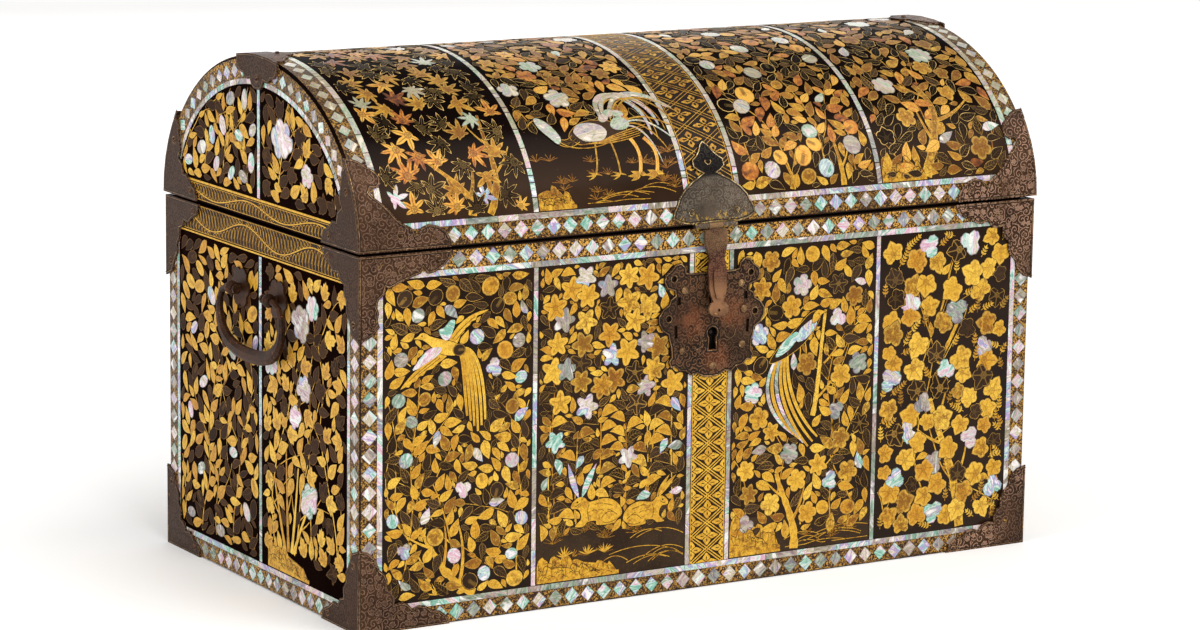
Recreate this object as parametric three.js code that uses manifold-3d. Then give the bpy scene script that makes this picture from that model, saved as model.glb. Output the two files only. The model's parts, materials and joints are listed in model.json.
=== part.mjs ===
// Lacquer coffer with a barrel-vaulted lid: joined boards, sheet copper corner
// fittings, two back hinges, a front hasp with a sliding-bolt lock and a bail
// handle on each end. Millimetres, +Z up. Origin at the centre of the underside,
// front towards -Y. Modelled closed, with the hasp hanging just clear of its lock.

import * as THREE from 'three';
import { mergeVertices } from 'three/addons/utils/BufferGeometryUtils.js';
import Module from 'manifold-3d';

const wasm = await Module();
wasm.setup();

// ---------------------------------------------------------------- dimensions
const W = 480;              // body, left to right
const D = 256;              // body, front to back
const HB = 224;             // body, height of the outer rim
const TB = 10;              // body boards
const GAP = 2;              // shadow gap between body and lid
const E = 1;                // lid stands out past the body all round
const A = D / 2 + E;        // lid half ellipse, half depth
const B = 99;               // lid half ellipse, rise
const ZL = HB + GAP;        // underside of the lid
const XL = W / 2 + E;       // lid half length
const TS = 8;               // lid stave thickness
const STAVES = 7;
const SEG = 4;              // facets per stave
const C = 0.3;              // working gap between neighbouring pieces
const T = 1.2;              // sheet copper
const LIP = 5;              // thickness of the raised inner rim

const HY = D / 2 + 4.6;     // back hinge axis
const HZ = HB + GAP / 2;
const HR = 2.6;             // back hinge knuckle radius
const HINGE_X = 125;        // back hinges, left and right of centre

const SY = -(D / 2 + 3.2);  // hasp hinge axis
const SZ = HB + 1.2;
const SR = 1.7;             // hasp knuckle radius
const SWING = 5.5;            // degrees that the hasp hangs out from home

const PX = W / 2 + 7;       // handle pivot, out from the centre
const PY = 25;              // handle posts, either side of centre
const PZ = 182;

// ---------------------------------------------------------------- helpers
const V = (x, y) => new THREE.Vector2(x, y);

function solid(g) {
  const p = new THREE.BufferGeometry();
  p.setAttribute('position', g.getAttribute('position').clone());
  if (g.index) p.setIndex(g.index.clone());
  const m = mergeVertices(p, 1e-4);
  const idx = Array.from(m.index.array), tri = [];
  for (let i = 0; i < idx.length; i += 3) {
    const [a, b, c] = [idx[i], idx[i + 1], idx[i + 2]];
    if (a !== b && b !== c && a !== c) tri.push(a, b, c);
  }
  return new wasm.Manifold(new wasm.Mesh({
    numProp: 3,
    vertProperties: new Float32Array(m.getAttribute('position').array),
    triVerts: new Uint32Array(tri),
  }));
}

function geometry(man) {
  const m = man.getMesh();
  const g = new THREE.BufferGeometry();
  g.setAttribute('position', new THREE.BufferAttribute(new Float32Array(m.vertProperties), 3));
  g.setIndex(new THREE.BufferAttribute(new Uint32Array(m.triVerts), 1));
  return g;
}

function extrude(pts, depth) {
  return new THREE.ExtrudeGeometry(new THREE.Shape(pts.map(p => V(p[0], p[1]))),
    { depth, bevelEnabled: false, curveSegments: 1 });
}
const basis = (x, y, z) => new THREE.Matrix4().makeBasis(
  new THREE.Vector3(...x), new THREE.Vector3(...y), new THREE.Vector3(...z));

// outline in (x, z), between two y planes
function prismXZ(pts, y0, y1) {
  const g = extrude(pts, Math.abs(y1 - y0));
  g.applyMatrix4(basis([1, 0, 0], [0, 0, 1], [0, -1, 0]));
  g.translate(0, Math.max(y0, y1), 0);
  return solid(g);
}
// outline in (y, z), between two x planes
function prismYZ(pts, x0, x1) {
  const g = extrude(pts, Math.abs(x1 - x0));
  g.applyMatrix4(basis([0, 1, 0], [0, 0, 1], [1, 0, 0]));
  g.translate(Math.min(x0, x1), 0, 0);
  return solid(g);
}
// outline in (x, y), between two z planes
function prismXY(pts, z0, z1) {
  const g = extrude(pts, Math.abs(z1 - z0));
  g.translate(0, 0, Math.min(z0, z1));
  return solid(g);
}
function box(x0, x1, y0, y1, z0, z1) {
  const g = new THREE.BoxGeometry(Math.abs(x1 - x0), Math.abs(y1 - y0), Math.abs(z1 - z0));
  g.translate((x0 + x1) / 2, (y0 + y1) / 2, (z0 + z1) / 2);
  return solid(g);
}
// cylinder or cone between two points on a line along one axis
function rod(axis, at, from, to, r, n = 8, r2 = r) {
  const g = new THREE.CylinderGeometry(r2, r, Math.abs(to - from), n);
  g.rotateX(Math.PI / 2);                       // along +Z, r at the low end
  g.translate(0, 0, (from + to) / 2);
  if (axis === 'x') g.applyMatrix4(basis([0, 1, 0], [0, 0, 1], [1, 0, 0]));
  if (axis === 'y') g.applyMatrix4(basis([0, 0, 1], [1, 0, 0], [0, 1, 0]));
  const t = axis === 'x' ? [0, at[0], at[1]] : axis === 'y' ? [at[0], 0, at[1]] : [at[0], at[1], 0];
  g.translate(...t);
  return solid(g);
}
const join = (...m) => m.reduce((a, b) => a.add(b));

// points of a scalloped edge: arcs that bulge out between the given cusps
function scallop(cusps, bulge, n = 3) {
  const out = [cusps[0]];
  for (let i = 1; i < cusps.length; i++) {
    const [ax, ay] = cusps[i - 1], [bx, by] = cusps[i];
    const dx = bx - ax, dy = by - ay;
    for (let k = 1; k < n; k++) {
      const s = k / n, h = bulge * 4 * s * (1 - s);
      out.push([ax + dx * s - dy * -h, ay + dy * s + dx * -h]);
    }
    out.push(cusps[i]);
  }
  return out;
}
const mirror = pts => pts.map(([x, y]) => [-x, y]);

// lid curve: t runs from the front rim (0) over the crown to the back rim (pi)
const NT = STAVES * SEG;
function arc(off, k0, k1) {
  const out = [];
  for (let k = k0; k <= k1 + 1e-9; k++) {
    const t = Math.PI * k / NT;
    out.push([-(A + off) * Math.cos(t), ZL + (B + off) * Math.sin(t)]);
  }
  return out;
}

// ---------------------------------------------------------------- scene
const coffer = new THREE.Group();
const lid = new THREE.Group();
coffer.add(lid);

const LACQUER = { color: 0x1a0f0a, roughness: 0.28, metalness: 0.0 };
const COPPER = { color: 0x5b4330, roughness: 0.45, metalness: 0.85 };
const BRIGHT = { color: 0xa9743c, roughness: 0.38, metalness: 0.9 };
const IRON = { color: 0x3d3833, roughness: 0.55, metalness: 0.85 };

function put(group, name, man, look) {
  const mesh = new THREE.Mesh(geometry(man), new THREE.MeshStandardMaterial({ ...look, flatShading: true }));
  mesh.name = name;
  group.add(mesh);
  return mesh;
}

// ---------------------------------------------------------------- body boards
// rim section: outer edge lower, inner lip rises into the shadow gap
const rim = [[0, 0], [TB, 0], [TB, ZL - C], [TB - LIP, ZL - C], [TB - LIP, HB], [0, HB]];
const m = 0.22;   // mitre clearance

const nailAt = [[-20.3, 186.6], [20.3, 188], [22.4, 172], [21.5, 150], [0.4, 138.5], [-21.3, 149.5]];
const hw = W / 2, hd = D / 2;

function longBoard(s) {          // s = -1 front, 1 back
  const section = prismYZ(rim.map(([a, z]) => [s * (hd - a), z]), -hw, hw);
  const plan = prismXY([[-hw + m, s * hd], [hw - m, s * hd], [hw - TB - m, s * (hd - TB)], [-hw + TB + m, s * (hd - TB)]], -1, ZL + 5);
  return section.intersect(plan);
}
function endBoard(s) {           // s = -1 left, 1 right
  const section = prismXZ(rim.map(([a, z]) => [s * (hw - a), z]), -hd, hd);
  const plan = prismXY([[s * hw, -hd + m], [s * hw, hd - m], [s * (hw - TB), hd - TB - m], [s * (hw - TB), -hd + TB + m]], -1, ZL + 5);
  let b = section.intersect(plan);
  for (const y of [-PY, PY]) b = b.subtract(rod('x', [y, PZ], s * (hw - TB - 1), s * (hw + 1), 2.4, 10));
  return b;
}

const RX = 18, RZ0 = 144, RZ1 = 191, RY = -hd + 6.4;   // lock recess in the front board
let front = longBoard(-1).subtract(box(-RX, RX, -hd - 1, RY, RZ0, RZ1));
for (const [x, z] of nailAt) front = front.subtract(rod('y', [z, x].reverse(), -hd - 1, -hd + 8.6, 1.15, 6));
put(coffer, 'body_front_board', front, LACQUER);
put(coffer, 'body_back_board', longBoard(1), LACQUER);
put(coffer, 'body_left_end_board', endBoard(-1), LACQUER);
put(coffer, 'body_right_end_board', endBoard(1), LACQUER);
put(coffer, 'body_bottom_board', box(-hw + TB + C, hw - TB - C, -hd + TB + C, hd - TB - C, 0, TB), LACQUER);

// ---------------------------------------------------------------- lid boards
for (let i = 0; i < STAVES; i++) {
  const k0 = i * SEG, k1 = k0 + SEG;
  const ring = [...arc(0, k0, k1), ...arc(-TS, k0, k1).reverse()];
  let st = prismYZ(ring, -XL, XL);
  // thin joint to the next stave: trim each side by half the gap
  const cut = k => {
    const t = Math.PI * k / NT;
    const p = [-(A) * Math.cos(t), ZL + B * Math.sin(t)], q = [-(A - TS) * Math.cos(t), ZL + (B - TS) * Math.sin(t)];
    const dx = p[0] - q[0], dz = p[1] - q[1], l = Math.hypot(dx, dz), ux = dx / l, uz = dz / l, h = C / 2;
    return prismYZ([[q[0] - 3 * ux - h * uz, q[1] - 3 * uz + h * ux], [q[0] - 3 * ux + h * uz, q[1] - 3 * uz - h * ux],
      [p[0] + 3 * ux + h * uz, p[1] + 3 * uz - h * ux], [p[0] + 3 * ux - h * uz, p[1] + 3 * uz + h * ux]], -XL - 1, XL + 1);
  };
  if (i > 0) st = st.subtract(cut(k0));
  if (i < STAVES - 1) st = st.subtract(cut(k1));
  put(lid, 'lid_stave_' + (i + 1), st, LACQUER);
}
const endShape = arc(-TS - C, 0, NT);
put(lid, 'lid_left_end_board', prismYZ(endShape, -XL, -XL + TB), LACQUER);
put(lid, 'lid_right_end_board', prismYZ(endShape, XL - TB, XL), LACQUER);

// ---------------------------------------------------------------- corner fittings
// u runs in from the outer corner, v away from the rim or the floor
const hooked = [[61, 0], [60, 4.5], [56, 8.8], [50, 12.5], [45, 13], [42, 9.6], [40.3, 12.6], [35.5, 14], [27, 16.8],
  [20, 20], [17.6, 19], [16.6, 23], [12.8, 26], [11.8, 30], [13.2, 34], [12.2, 38], [13.6, 42], [10, 46], [5, 49], [-1, 50]];
const lobed = scallop([[61, 0], [49, 9.5], [36, 12], [24, 16], [19, 26], [14, 38], [-1, 51]], 0.2);
const lobedEnd = scallop([[47, 0], [37, 10], [26, 13], [19, 19], [16, 29], [13, 39], [-1, 51]], 0.2, 2);
const lidFront = [[61, 0], [60.5, 5], [58, 9], [53, 12.5], [47, 14], [42, 12.5], [39.5, 9.5], [37.5, 8.8], [36.8, 11.2],
  [34, 13.5], [29, 16], [25, 19.5], [21.5, 24], [17.5, 28], [13, 31.5], [11, 34], [12.6, 36.4], [16.5, 36], [19.5, 38.4],
  [20, 42], [17.5, 45.5], [13, 48], [9, 51], [5, 52.5], [-1, 53]];
const lidEnd = scallop([[47, 0], [37, 11], [28, 15], [22, 24], [23, 35], [13, 52]], 0.2, 2);

const head = (axis, at, s, base, r = 2.1) => {
  // low domed nail head on a plate, s = direction it stands in
  return s > 0 ? rod(axis, at, base - 0.4, base + 1.1, r, 6, r * 0.45) : rod(axis, at, base - 1.1, base + 0.4, r * 0.45, 6, r);
};

const XO = hw + C + T, YO = hd + C + T;          // outer faces of the body fittings
function bodyCorner(sx, sy, top, outline, nails, endNails) {
  const z = v => top ? HB - v : v;
  const poly = pts => [[0, 0], ...pts];
  const f = prismXZ(poly(outline.map(([u, v]) => [Math.max(u, 0), v])).map(([u, v]) => [sx * (XO - u), z(v)]), sy * (hd + C), sy * YO);
  const e = prismYZ(poly(lobedEnd.map(([u, v]) => [Math.max(u, 0), v])).map(([u, v]) => [sy * (YO - u), z(v)]), sx * (hw + C), sx * XO);
  let c = f.add(e);
  for (const [u, v] of nails) c = c.add(head('y', [sx * (XO - u), z(v)], sy, sy * YO));
  for (const [u, v] of endNails) c = c.add(head('x', [sy * (YO - u), z(v)], sx, sx * XO));
  return c;
}
const nl = [[52, 5.5], [9, 41], [28, 10]], ne = [[39, 5.5], [7, 41]];
for (const [sx, nx] of [[-1, 'left'], [1, 'right']]) {
  for (const [sy, ny] of [[-1, 'front'], [1, 'back']]) {
    const up = (sx < 0) === (sy < 0) ? hooked : lobed;
    put(coffer, `corner_top_${ny}_${nx}`, bodyCorner(sx, sy, true, up, nl, ne), COPPER);
    put(coffer, `corner_bottom_${ny}_${nx}`, bodyCorner(sx, sy, false, lobed, nl, ne), COPPER);
  }
}

// curved sheet that follows the lid, trimmed by an outline in (x, z) or (x, y)
const sheetArc = (k0, k1) => [...arc(C, k0, k1), ...arc(C + T, k0, k1).reverse()];
const fullArc = [...arc(C + T, 0, NT)];
const XLO = XL + C + T;
const yAt = (z, off) => (A + off) * Math.sqrt(Math.max(0, 1 - ((z - ZL) / (B + off)) ** 2));

function lidCorner(sx, sy) {
  const k = 6;
  const sheet = sy < 0 ? prismYZ(sheetArc(0, k), -XLO, XLO) : prismYZ(sheetArc(NT - k, NT), -XLO, XLO);
  const poly = [[0, 0], ...lidFront.map(([u, v]) => [Math.max(u, 0), v])];
  const f = sheet.intersect(prismXZ(poly.map(([u, v]) => [sx * (XLO - u), ZL + v]), sy * 60, sy * 140));
  const ep = [[-3, 0], ...lidEnd, [-3, 56]];
  const e = prismYZ(ep.map(([u, v]) => [sy * (A + C + T - u), ZL + v]), sx * (XL + C), sx * XLO).intersect(prismYZ(fullArc, sx * XL, sx * (XLO + 1)));
  let c = f.add(e);
  for (const [u, v] of [[51, 6.5], [28, 9]]) {
    const z = ZL + v;
    c = c.add(head('y', [sx * (XLO - u), z], sy, sy * yAt(z, C + T)));
  }
  for (const [u, v] of [[38, 5.5], [16, 34]]) c = c.add(head('x', [sy * (A + C + T - u), ZL + v], sx, sx * XLO));
  return c;
}
for (const [sx, nx] of [[-1, 'left'], [1, 'right']])
  for (const [sy, ny] of [[-1, 'front'], [1, 'back']])
    put(lid, `corner_lid_${ny}_${nx}`, lidCorner(sx, sy), COPPER);

// trefoil mounts that wrap over the crown at each end of the lid
for (const [sx, nx] of [[-1, 'left'], [1, 'right']]) {
  const halfTop = scallop([[23, 0], [17, 11], [8, 15], [0, 24]], 0.22);
  const topOutline = [[23, -1], ...halfTop, ...mirror(halfTop).reverse(), [-23, -1]];
  const halfEnd = scallop([[27, 6], [18, 13], [9, 15], [0, 21]], 0.22);
  const endOutline = [[27, -6], ...halfEnd, ...mirror(halfEnd).reverse(), [-27, -6]];
  const t = prismYZ(sheetArc(10, NT - 10), -XLO, XLO)
    .intersect(prismXY(topOutline.map(([y, u]) => [sx * (XLO - u), y]), ZL + 60, ZL + B + 6));
  const e = prismYZ(endOutline.map(([y, v]) => [y, ZL + B + C + T - v]), sx * (XL + C), sx * XLO).intersect(prismYZ(fullArc, sx * XL, sx * (XLO + 1)));
  let c = t.add(e);
  c = c.add(head('x', [0, ZL + B - 13], sx, sx * XLO));
  c = c.add(rod('z', [sx * (XLO - 14), 0], ZL + B + C + 0.4, ZL + B + C + T + 1.1, 2.1, 6, 1));
  put(lid, `crown_mount_${nx}`, c, COPPER);
}

// ---------------------------------------------------------------- back hinges
// half-moon leaf outline, u across, v away from the pin
const leafHalf = scallop([[22, 2], [21, 17], [12, 27], [7, 29], [7.5, 35], [0, 44]], 0.16);
const leaf = [...leafHalf, ...mirror(leafHalf).reverse()];
function knuckles(xc, spans, y, z, r, bore) {
  let k = null;
  for (const [a, b] of spans) {
    const c = rod('x', [y, z], xc + a, xc + b, r, 14).subtract(rod('x', [y, z], xc + a - 1, xc + b + 1, bore, 10));
    k = k ? k.add(c) : c;
  }
  return k;
}
for (const [s, nx] of [[-1, 'left'], [1, 'right']]) {
  const xc = s * HINGE_X;
  const outer = [[-15, -5.15], [5.15, 15]], mid = [[-4.85, 4.85]];
  // body leaf with the outer knuckles
  let b = prismXZ(leaf.map(([u, v]) => [xc + u, HZ - v]), hd + C, hd + C + T);
  for (const [a, c] of outer) b = b.add(box(xc + a, xc + c, hd + C, HY, HZ - 2.6, HZ - 0.4).add(rod('x', [HY, HZ], xc + a, xc + c, HR, 10)));
  b = b.subtract(rod('x', [HY, HZ], xc - 16, xc + 16, 1.5, 10));
  for (const [u, v] of [[-15, 9], [15, 9], [0, 34]]) b = b.add(head('y', [xc + u, HZ - v], 1, hd + C + T));
  put(coffer, `hinge_${nx}_body_leaf`, b, COPPER);
  // lid leaf with the middle knuckle
  const sheet = prismYZ(sheetArc(NT - 5, NT), xc - 30, xc + 30);
  let l = sheet.intersect(prismXZ(leaf.map(([u, v]) => [xc + u, HZ + v]), 60, 140));
  l = l.add(box(xc - 4.85, xc + 4.85, A + C + 0.1, HY, HZ + 0.6, HZ + 2.6)).add(rod('x', [HY, HZ], xc - 4.85, xc + 4.85, HR, 10));
  l = l.subtract(rod('x', [HY, HZ], xc - 16, xc + 16, 1.5, 10));
  for (const [u, v] of [[-15, 9], [15, 9]]) l = l.add(head('y', [xc + u, HZ + v], 1, yAt(HZ + v, C + T)));
  put(lid, `hinge_${nx}_lid_leaf`, l, COPPER);
  const pin = join(rod('x', [HY, HZ], xc - 16.6, xc + 16.6, 1.2, 8),
    rod('x', [HY, HZ], xc - 16.8, xc - 15.3, 2.1, 8), rod('x', [HY, HZ], xc + 15.3, xc + 16.8, 2.1, 8));
  put(coffer, `hinge_${nx}_pin`, pin, COPPER);
}

// ---------------------------------------------------------------- hasp plate on the lid
const moonHalf = [[29.5, 4.5], [28.5, 9], [26, 13], [24.5, 16.5], [20, 21.5], [13.5, 26], [8.5, 28.5], [5, 30.2],
  [8, 31.5], [11.2, 34], [11, 38], [7.5, 40.2], [5.2, 42.6], [2.5, 46.5], [0, 48.2]];
const moonLow = [[-29.5, 4.5], [-24, 1.8], [-18, 0.6], [-15, 0.2], [15, 0.2], [18, 0.6], [24, 1.8]];
const moon = [...moonHalf, ...mirror(moonHalf).reverse().slice(1), ...moonLow.slice(1)];
let hp = prismYZ(sheetArc(0, 5), -32, 32).intersect(prismXZ(moon.map(([x, v]) => [x, SZ + 0.8 + v]), -60, -140));
for (const [a, c] of [[-15, -5.15], [5.15, 15]])
  hp = hp.add(rod('x', [SY, SZ], a, c, SR, 10)).add(box(a, c, SY, -(A + C), SZ + 0.3, ZL + 0.6));
hp = hp.subtract(rod('x', [SY, SZ], -5.15, 5.15, SR + 0.35, 10)).subtract(rod('x', [SY, SZ], -16, 16, 0.95, 8));
for (const [x, v] of [[-16, 7.5], [16, 7.5], [0, 36.5]]) hp = hp.add(head('y', [x, ZL + v], -1, -yAt(ZL + v, C + T), 1.9));
put(lid, 'hasp_plate', hp, IRON);
put(lid, 'hasp_pin', rod('x', [SY, SZ], -15.6, 15.6, 0.7, 8), IRON);

// ---------------------------------------------------------------- hasp, drawn at home then swung out
const haspHalf = [[7.9, 4.7], [7.9, 13], [6.6, 18], [5.3, 22.5], [6.0, 26], [6.7, 29.5], [6.3, 34], [6.3, 40], [5.4, 44.5],
  [3.6, 48.6], [5.6, 49.6], [7.0, 52.2], [6.6, 55.2], [4.0, 57.2], [0, 57.8]].map(([x, v]) => [x, v - 2.2]);
const haspOutline = [...haspHalf, ...mirror(haspHalf).reverse().slice(1)];
const HT = 1.6;                                   // hasp strap thickness
let hs = prismXZ(haspOutline.map(([x, v]) => [x, -v]), HT / 2, -HT / 2);
hs = hs.add(box(-4.85, 4.85, -HT / 2, HT / 2, -3, 0)).add(rod('x', [0, 0], -4.85, 4.85, SR, 10));
hs = hs.subtract(rod('x', [0, 0], -6, 6, 0.95, 8));
// raised moulding down the front of the strap
hs = hs.add(prismXZ([[2.9, -26.5], [3.6, -31], [3.4, -38], [2, -44.5], [-2, -44.5], [-3.4, -38], [-3.6, -31], [-2.9, -26.5]], -HT / 2 + 0.2, -HT / 2 - 1.1));
hs = hs.subtract(rod('y', [0, -51.6], -3, 3, 1.0, 8));
// staple with the eye for the bolt
const stapleTip = -SY - (hd - 2.05);              // depth behind the hinge axis
hs = hs.add(box(-1.5, 1.5, HT / 2 - 0.3, stapleTip, -52.2 + 3.4, -45.2 + 3.4)
  .subtract(box(-3, 3, -SY - hd - 0.25, stapleTip - 1.0, -50.4 + 3.4, -47 + 3.4)));
const hasp = new THREE.Group();
hasp.position.set(0, SY, SZ);
hasp.rotation.x = -THREE.MathUtils.degToRad(SWING);
lid.add(hasp);
put(hasp, 'hasp', hs, BRIGHT);

// ---------------------------------------------------------------- lock
const STZ = SZ - 48.7 + 3.4;                      // height of the staple's eye
const plateHalf = side => {
  // lobed outline of the lock plate, right half seen from the front, bottom to top
  const p = [[0, 131.6], [5, 132], [10, 134.4], [14.5, 133.6], [18, 136.5], [22.5, 137.2], [26, 140], [29, 139.6], [30.5, 143.5],
    [28.6, 146], [29, 152], [30.5, 156.5], [31, 160], [35.5, 162.8], [38, 167.5], [38.2, 171.5], [35, 176], [31, 178.4], [30, 181.5],
    [26.6, 183.6], [27, 186.5], [32.4, 188.4], [34.6, 192.5], [33.6, 196.6], [29.5, 199.4], [27, 202.4], [22.5, 203.4], [19.6, 200.6], [18.8, 197.2], [15, 196.4], [0, 196.4]];
  return side < 0 ? mirror(p) : p;
};
const plateOutline = [...plateHalf(1), ...plateHalf(-1).reverse().slice(1, -1)];
const KX = 0.5, KZ = 158.9;                       // keyhole
const PF = -(hd + C + T), PB = -(hd + C);         // lock plate, front and back faces
let lp = prismXZ(plateOutline, PF, PB);
const thru = (pts) => prismXZ(pts, PF - 1, PB + 1);
for (const [x, z] of [[-27.6, 194], [27.6, 194], [-31, 169.8], [31, 169.8]]) lp = lp.subtract(rod('y', [x, z], PF - 1, PB + 1, 1.9, 8));
for (const [x, z] of nailAt) lp = lp.subtract(rod('y', [x, z], PF - 1, PB + 1, 1.15, 6));
for (const s of [-1, 1]) {
  lp = lp.subtract(thru([[s * 24.4, 157.5], [s * 26.6, 157], [s * 27, 165], [s * 24.8, 165.5]]));
  lp = lp.subtract(thru([[s * 22.5, 178], [s * 25.4, 177.6], [s * 25.2, 182.6], [s * 22.7, 182.6]]));
}
lp = lp.subtract(rod('y', [KX, KZ], PF - 1, PB + 1, 3.5, 12)).subtract(thru([[KX - 2.8, 148.4], [KX + 2.8, 148.4], [KX + 2.2, 154], [KX + 2.4, 159], [KX - 2.4, 159], [KX - 2.2, 154]]));
lp = lp.subtract(thru([[-2.2, STZ - 5.2], [2.2, STZ - 5.2], [2.2, STZ + 5.2], [-2.2, STZ + 5.2]]));
// small raised bosses either side of the keyhole
for (const [x, z] of [[-10.5, 153.5], [13, 158.5]]) lp = lp.add(rod('y', [x, z], PF - 1.3, PF + 0.4, 2.2, 8, 4.2));
put(coffer, 'lock_plate', lp, COPPER);

nailAt.forEach(([x, z], i) => {
  const n = join(rod('y', [x, z], -hd - C - T - C - 0.6, -hd - C - T - C, 2.3, 8), rod('y', [x, z], -hd - C - T - C - 1.6, -hd - C - T - C - 0.5, 0.9, 8, 2.1),
    rod('y', [x, z], -hd - C - T - C - 0.1, -hd + 8, 0.8, 6));
  put(coffer, 'lock_plate_nail_' + (i + 1), n, COPPER);
});

// shallow tray let into the board, with two rails for the bolt
const CY0 = -hd, CY1 = RY - C;
let tray = box(-RX + C, RX - C, CY0, CY1, RZ0 + C, RZ1 - C).subtract(box(-RX + C + 1, RX - C - 1, CY0 - 1, CY1 - 0.9, RZ0 + C + 1, RZ1 - C - 1));
tray = tray.add(box(-RX + 1, -3.4, CY0 + 1.2, CY1 - 0.5, STZ - 4.3, STZ - 3.5)).add(box(-RX + 1, -3.4, CY0 + 1.2, CY1 - 0.5, STZ + 3.5, STZ + 4.3));
tray = tray.subtract(box(-RX + 1.3, -4, CY0 - 1, CY1 - 0.9, STZ - 4.4, STZ - 3.4));
put(coffer, 'lock_case', tray, IRON);
put(coffer, 'lock_key_pin', rod('y', [KX, KZ], CY0 + 0.6, CY1 - 0.9 - C, 1.2, 10), IRON);
put(coffer, 'lock_spring', prismXZ([[-15.5, 187.6], [-15.5, 188.4], [-6, 188.8], [4, 186.2], [13.5, 188.6], [13.5, 187.8], [4, 185.3], [-6, 187.9]].map(([x, z]) => [x, z]), CY0 + 1, CY0 + 4), IRON);
let bolt = join(
  box(-16, -10, CY0 + 0.2, CY0 + 2.8, STZ - 3, STZ + 3),
  box(-11, -2.6, CY0 + 0.1, CY0 + 0.8, STZ - 1.2, STZ + 1.2),
  box(-16, -13.4, CY0 + 0.2, CY0 + 2.4, STZ - 10, STZ - 2));
put(coffer, 'lock_bolt', bolt, IRON);

// ---------------------------------------------------------------- bail handles
const bailPath = [[18.5, 0], [30, 0], [37, -2.6], [41, -8.5], [41.6, -17], [38, -26], [29, -33], [15, -36.8], [0, -37.6]];
function bail(s) {
  const pts = [...bailPath.map(([y, z]) => new THREE.Vector3(0, y, z)), ...bailPath.slice(0, -1).reverse().map(([y, z]) => new THREE.Vector3(0, -y, z))];
  const curve = new THREE.CatmullRomCurve3(pts, false, 'centripetal');
  const n = 26, sec = [];
  for (let i = 0; i < 8; i++) sec.push([2.05 * Math.cos(Math.PI * (i + 0.5) / 4), 2.05 * Math.sin(Math.PI * (i + 0.5) / 4)]);
  const g = new THREE.ExtrudeGeometry(new THREE.Shape(sec.map(p => V(...p))), { steps: n, extrudePath: curve, bevelEnabled: false });
  // swell the section towards the grip
  const at = curve.getSpacedPoints(n), pos = g.getAttribute('position');
  for (let i = 0; i < pos.count; i++) {
    const p = new THREE.Vector3().fromBufferAttribute(pos, i);
    let best = 0, bd = 1e9;
    at.forEach((q, k) => { const d = q.distanceToSquared(p); if (d < bd) { bd = d; best = k; } });
    const c = at[best], w = Math.max(0, Math.min(1, (-c.z - 6) / 30)), f = w * w * (3 - 2 * w);
    p.sub(c);
    p.x *= 1 + 0.5 * f; p.y *= 1 + 1.25 * f; p.z *= 1 + 1.25 * f;
    p.add(c);
    pos.setXYZ(i, p.x, p.y, p.z);
  }
  let b = solid(g);
  for (const e of [-1, 1]) b = b.add(rod('y', [0, 0], e > 0 ? 17.6 : -19.4, e > 0 ? 19.4 : -17.6, 3.0, 8));
  return b;
}
for (const [s, nx] of [[-1, 'left'], [1, 'right']]) {
  const h = new THREE.Group();
  h.position.set(s * PX, 0, PZ);
  coffer.add(h);
  put(h, `handle_${nx}_bail`, bail(s), COPPER);
  for (const [e, ny] of [[-1, 'front'], [1, 'back']]) {
    const y = e * PY;
    const ball = new THREE.SphereGeometry(4.4, 10, 6);
    ball.rotateX(Math.PI / 2);
    ball.translate(s * PX, y, PZ);
    const f = v => s * v;
    let post = join(solid(ball), rod('x', [y, PZ], f(PX - 1), f(hw + C + T + C), 2.6, 10), rod('x', [y, PZ], f(PX - 2), f(hw - TB - 1.5), 2.0, 10),
      rod('x', [y, PZ], f(hw - TB - C), f(hw - TB - C - 1.2), 3.6, 10));
    post = post.subtract(rod('y', [s * PX, PZ], y - 8, y + 8, 2.6, 8));
    put(coffer, `handle_${nx}_post_${ny}`, post, COPPER);
    const petals = [];
    for (let i = 0; i < 48; i++) {
      const t = 2 * Math.PI * i / 48, r = 10.6 + 1.5 * Math.abs(Math.cos(3 * t)) - (Math.abs(Math.cos(3 * t)) < 0.12 ? 0.8 : 0);
      petals.push([y + r * Math.cos(t), PZ + r * 1.06 * Math.sin(t)]);
    }
    const plate = prismYZ(petals.filter((_, i) => i % 2 === 0), s * (hw + C), s * (hw + C + T)).subtract(rod('x', [y, PZ], s * hw, s * (hw + 4), 2.4, 10));
    put(coffer, `handle_${nx}_plate_${ny}`, plate, COPPER);
  }
}

export default coffer;
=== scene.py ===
"""Looks of the lacquer coffer: lacquer shells, gold pictures, shell inlay and engraved
copper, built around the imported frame. Metres in Blender; the numbers below are millimetres
in the row frame (front towards -Y, underside at z = 0) and are divided by 1000 on the way in."""

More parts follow.
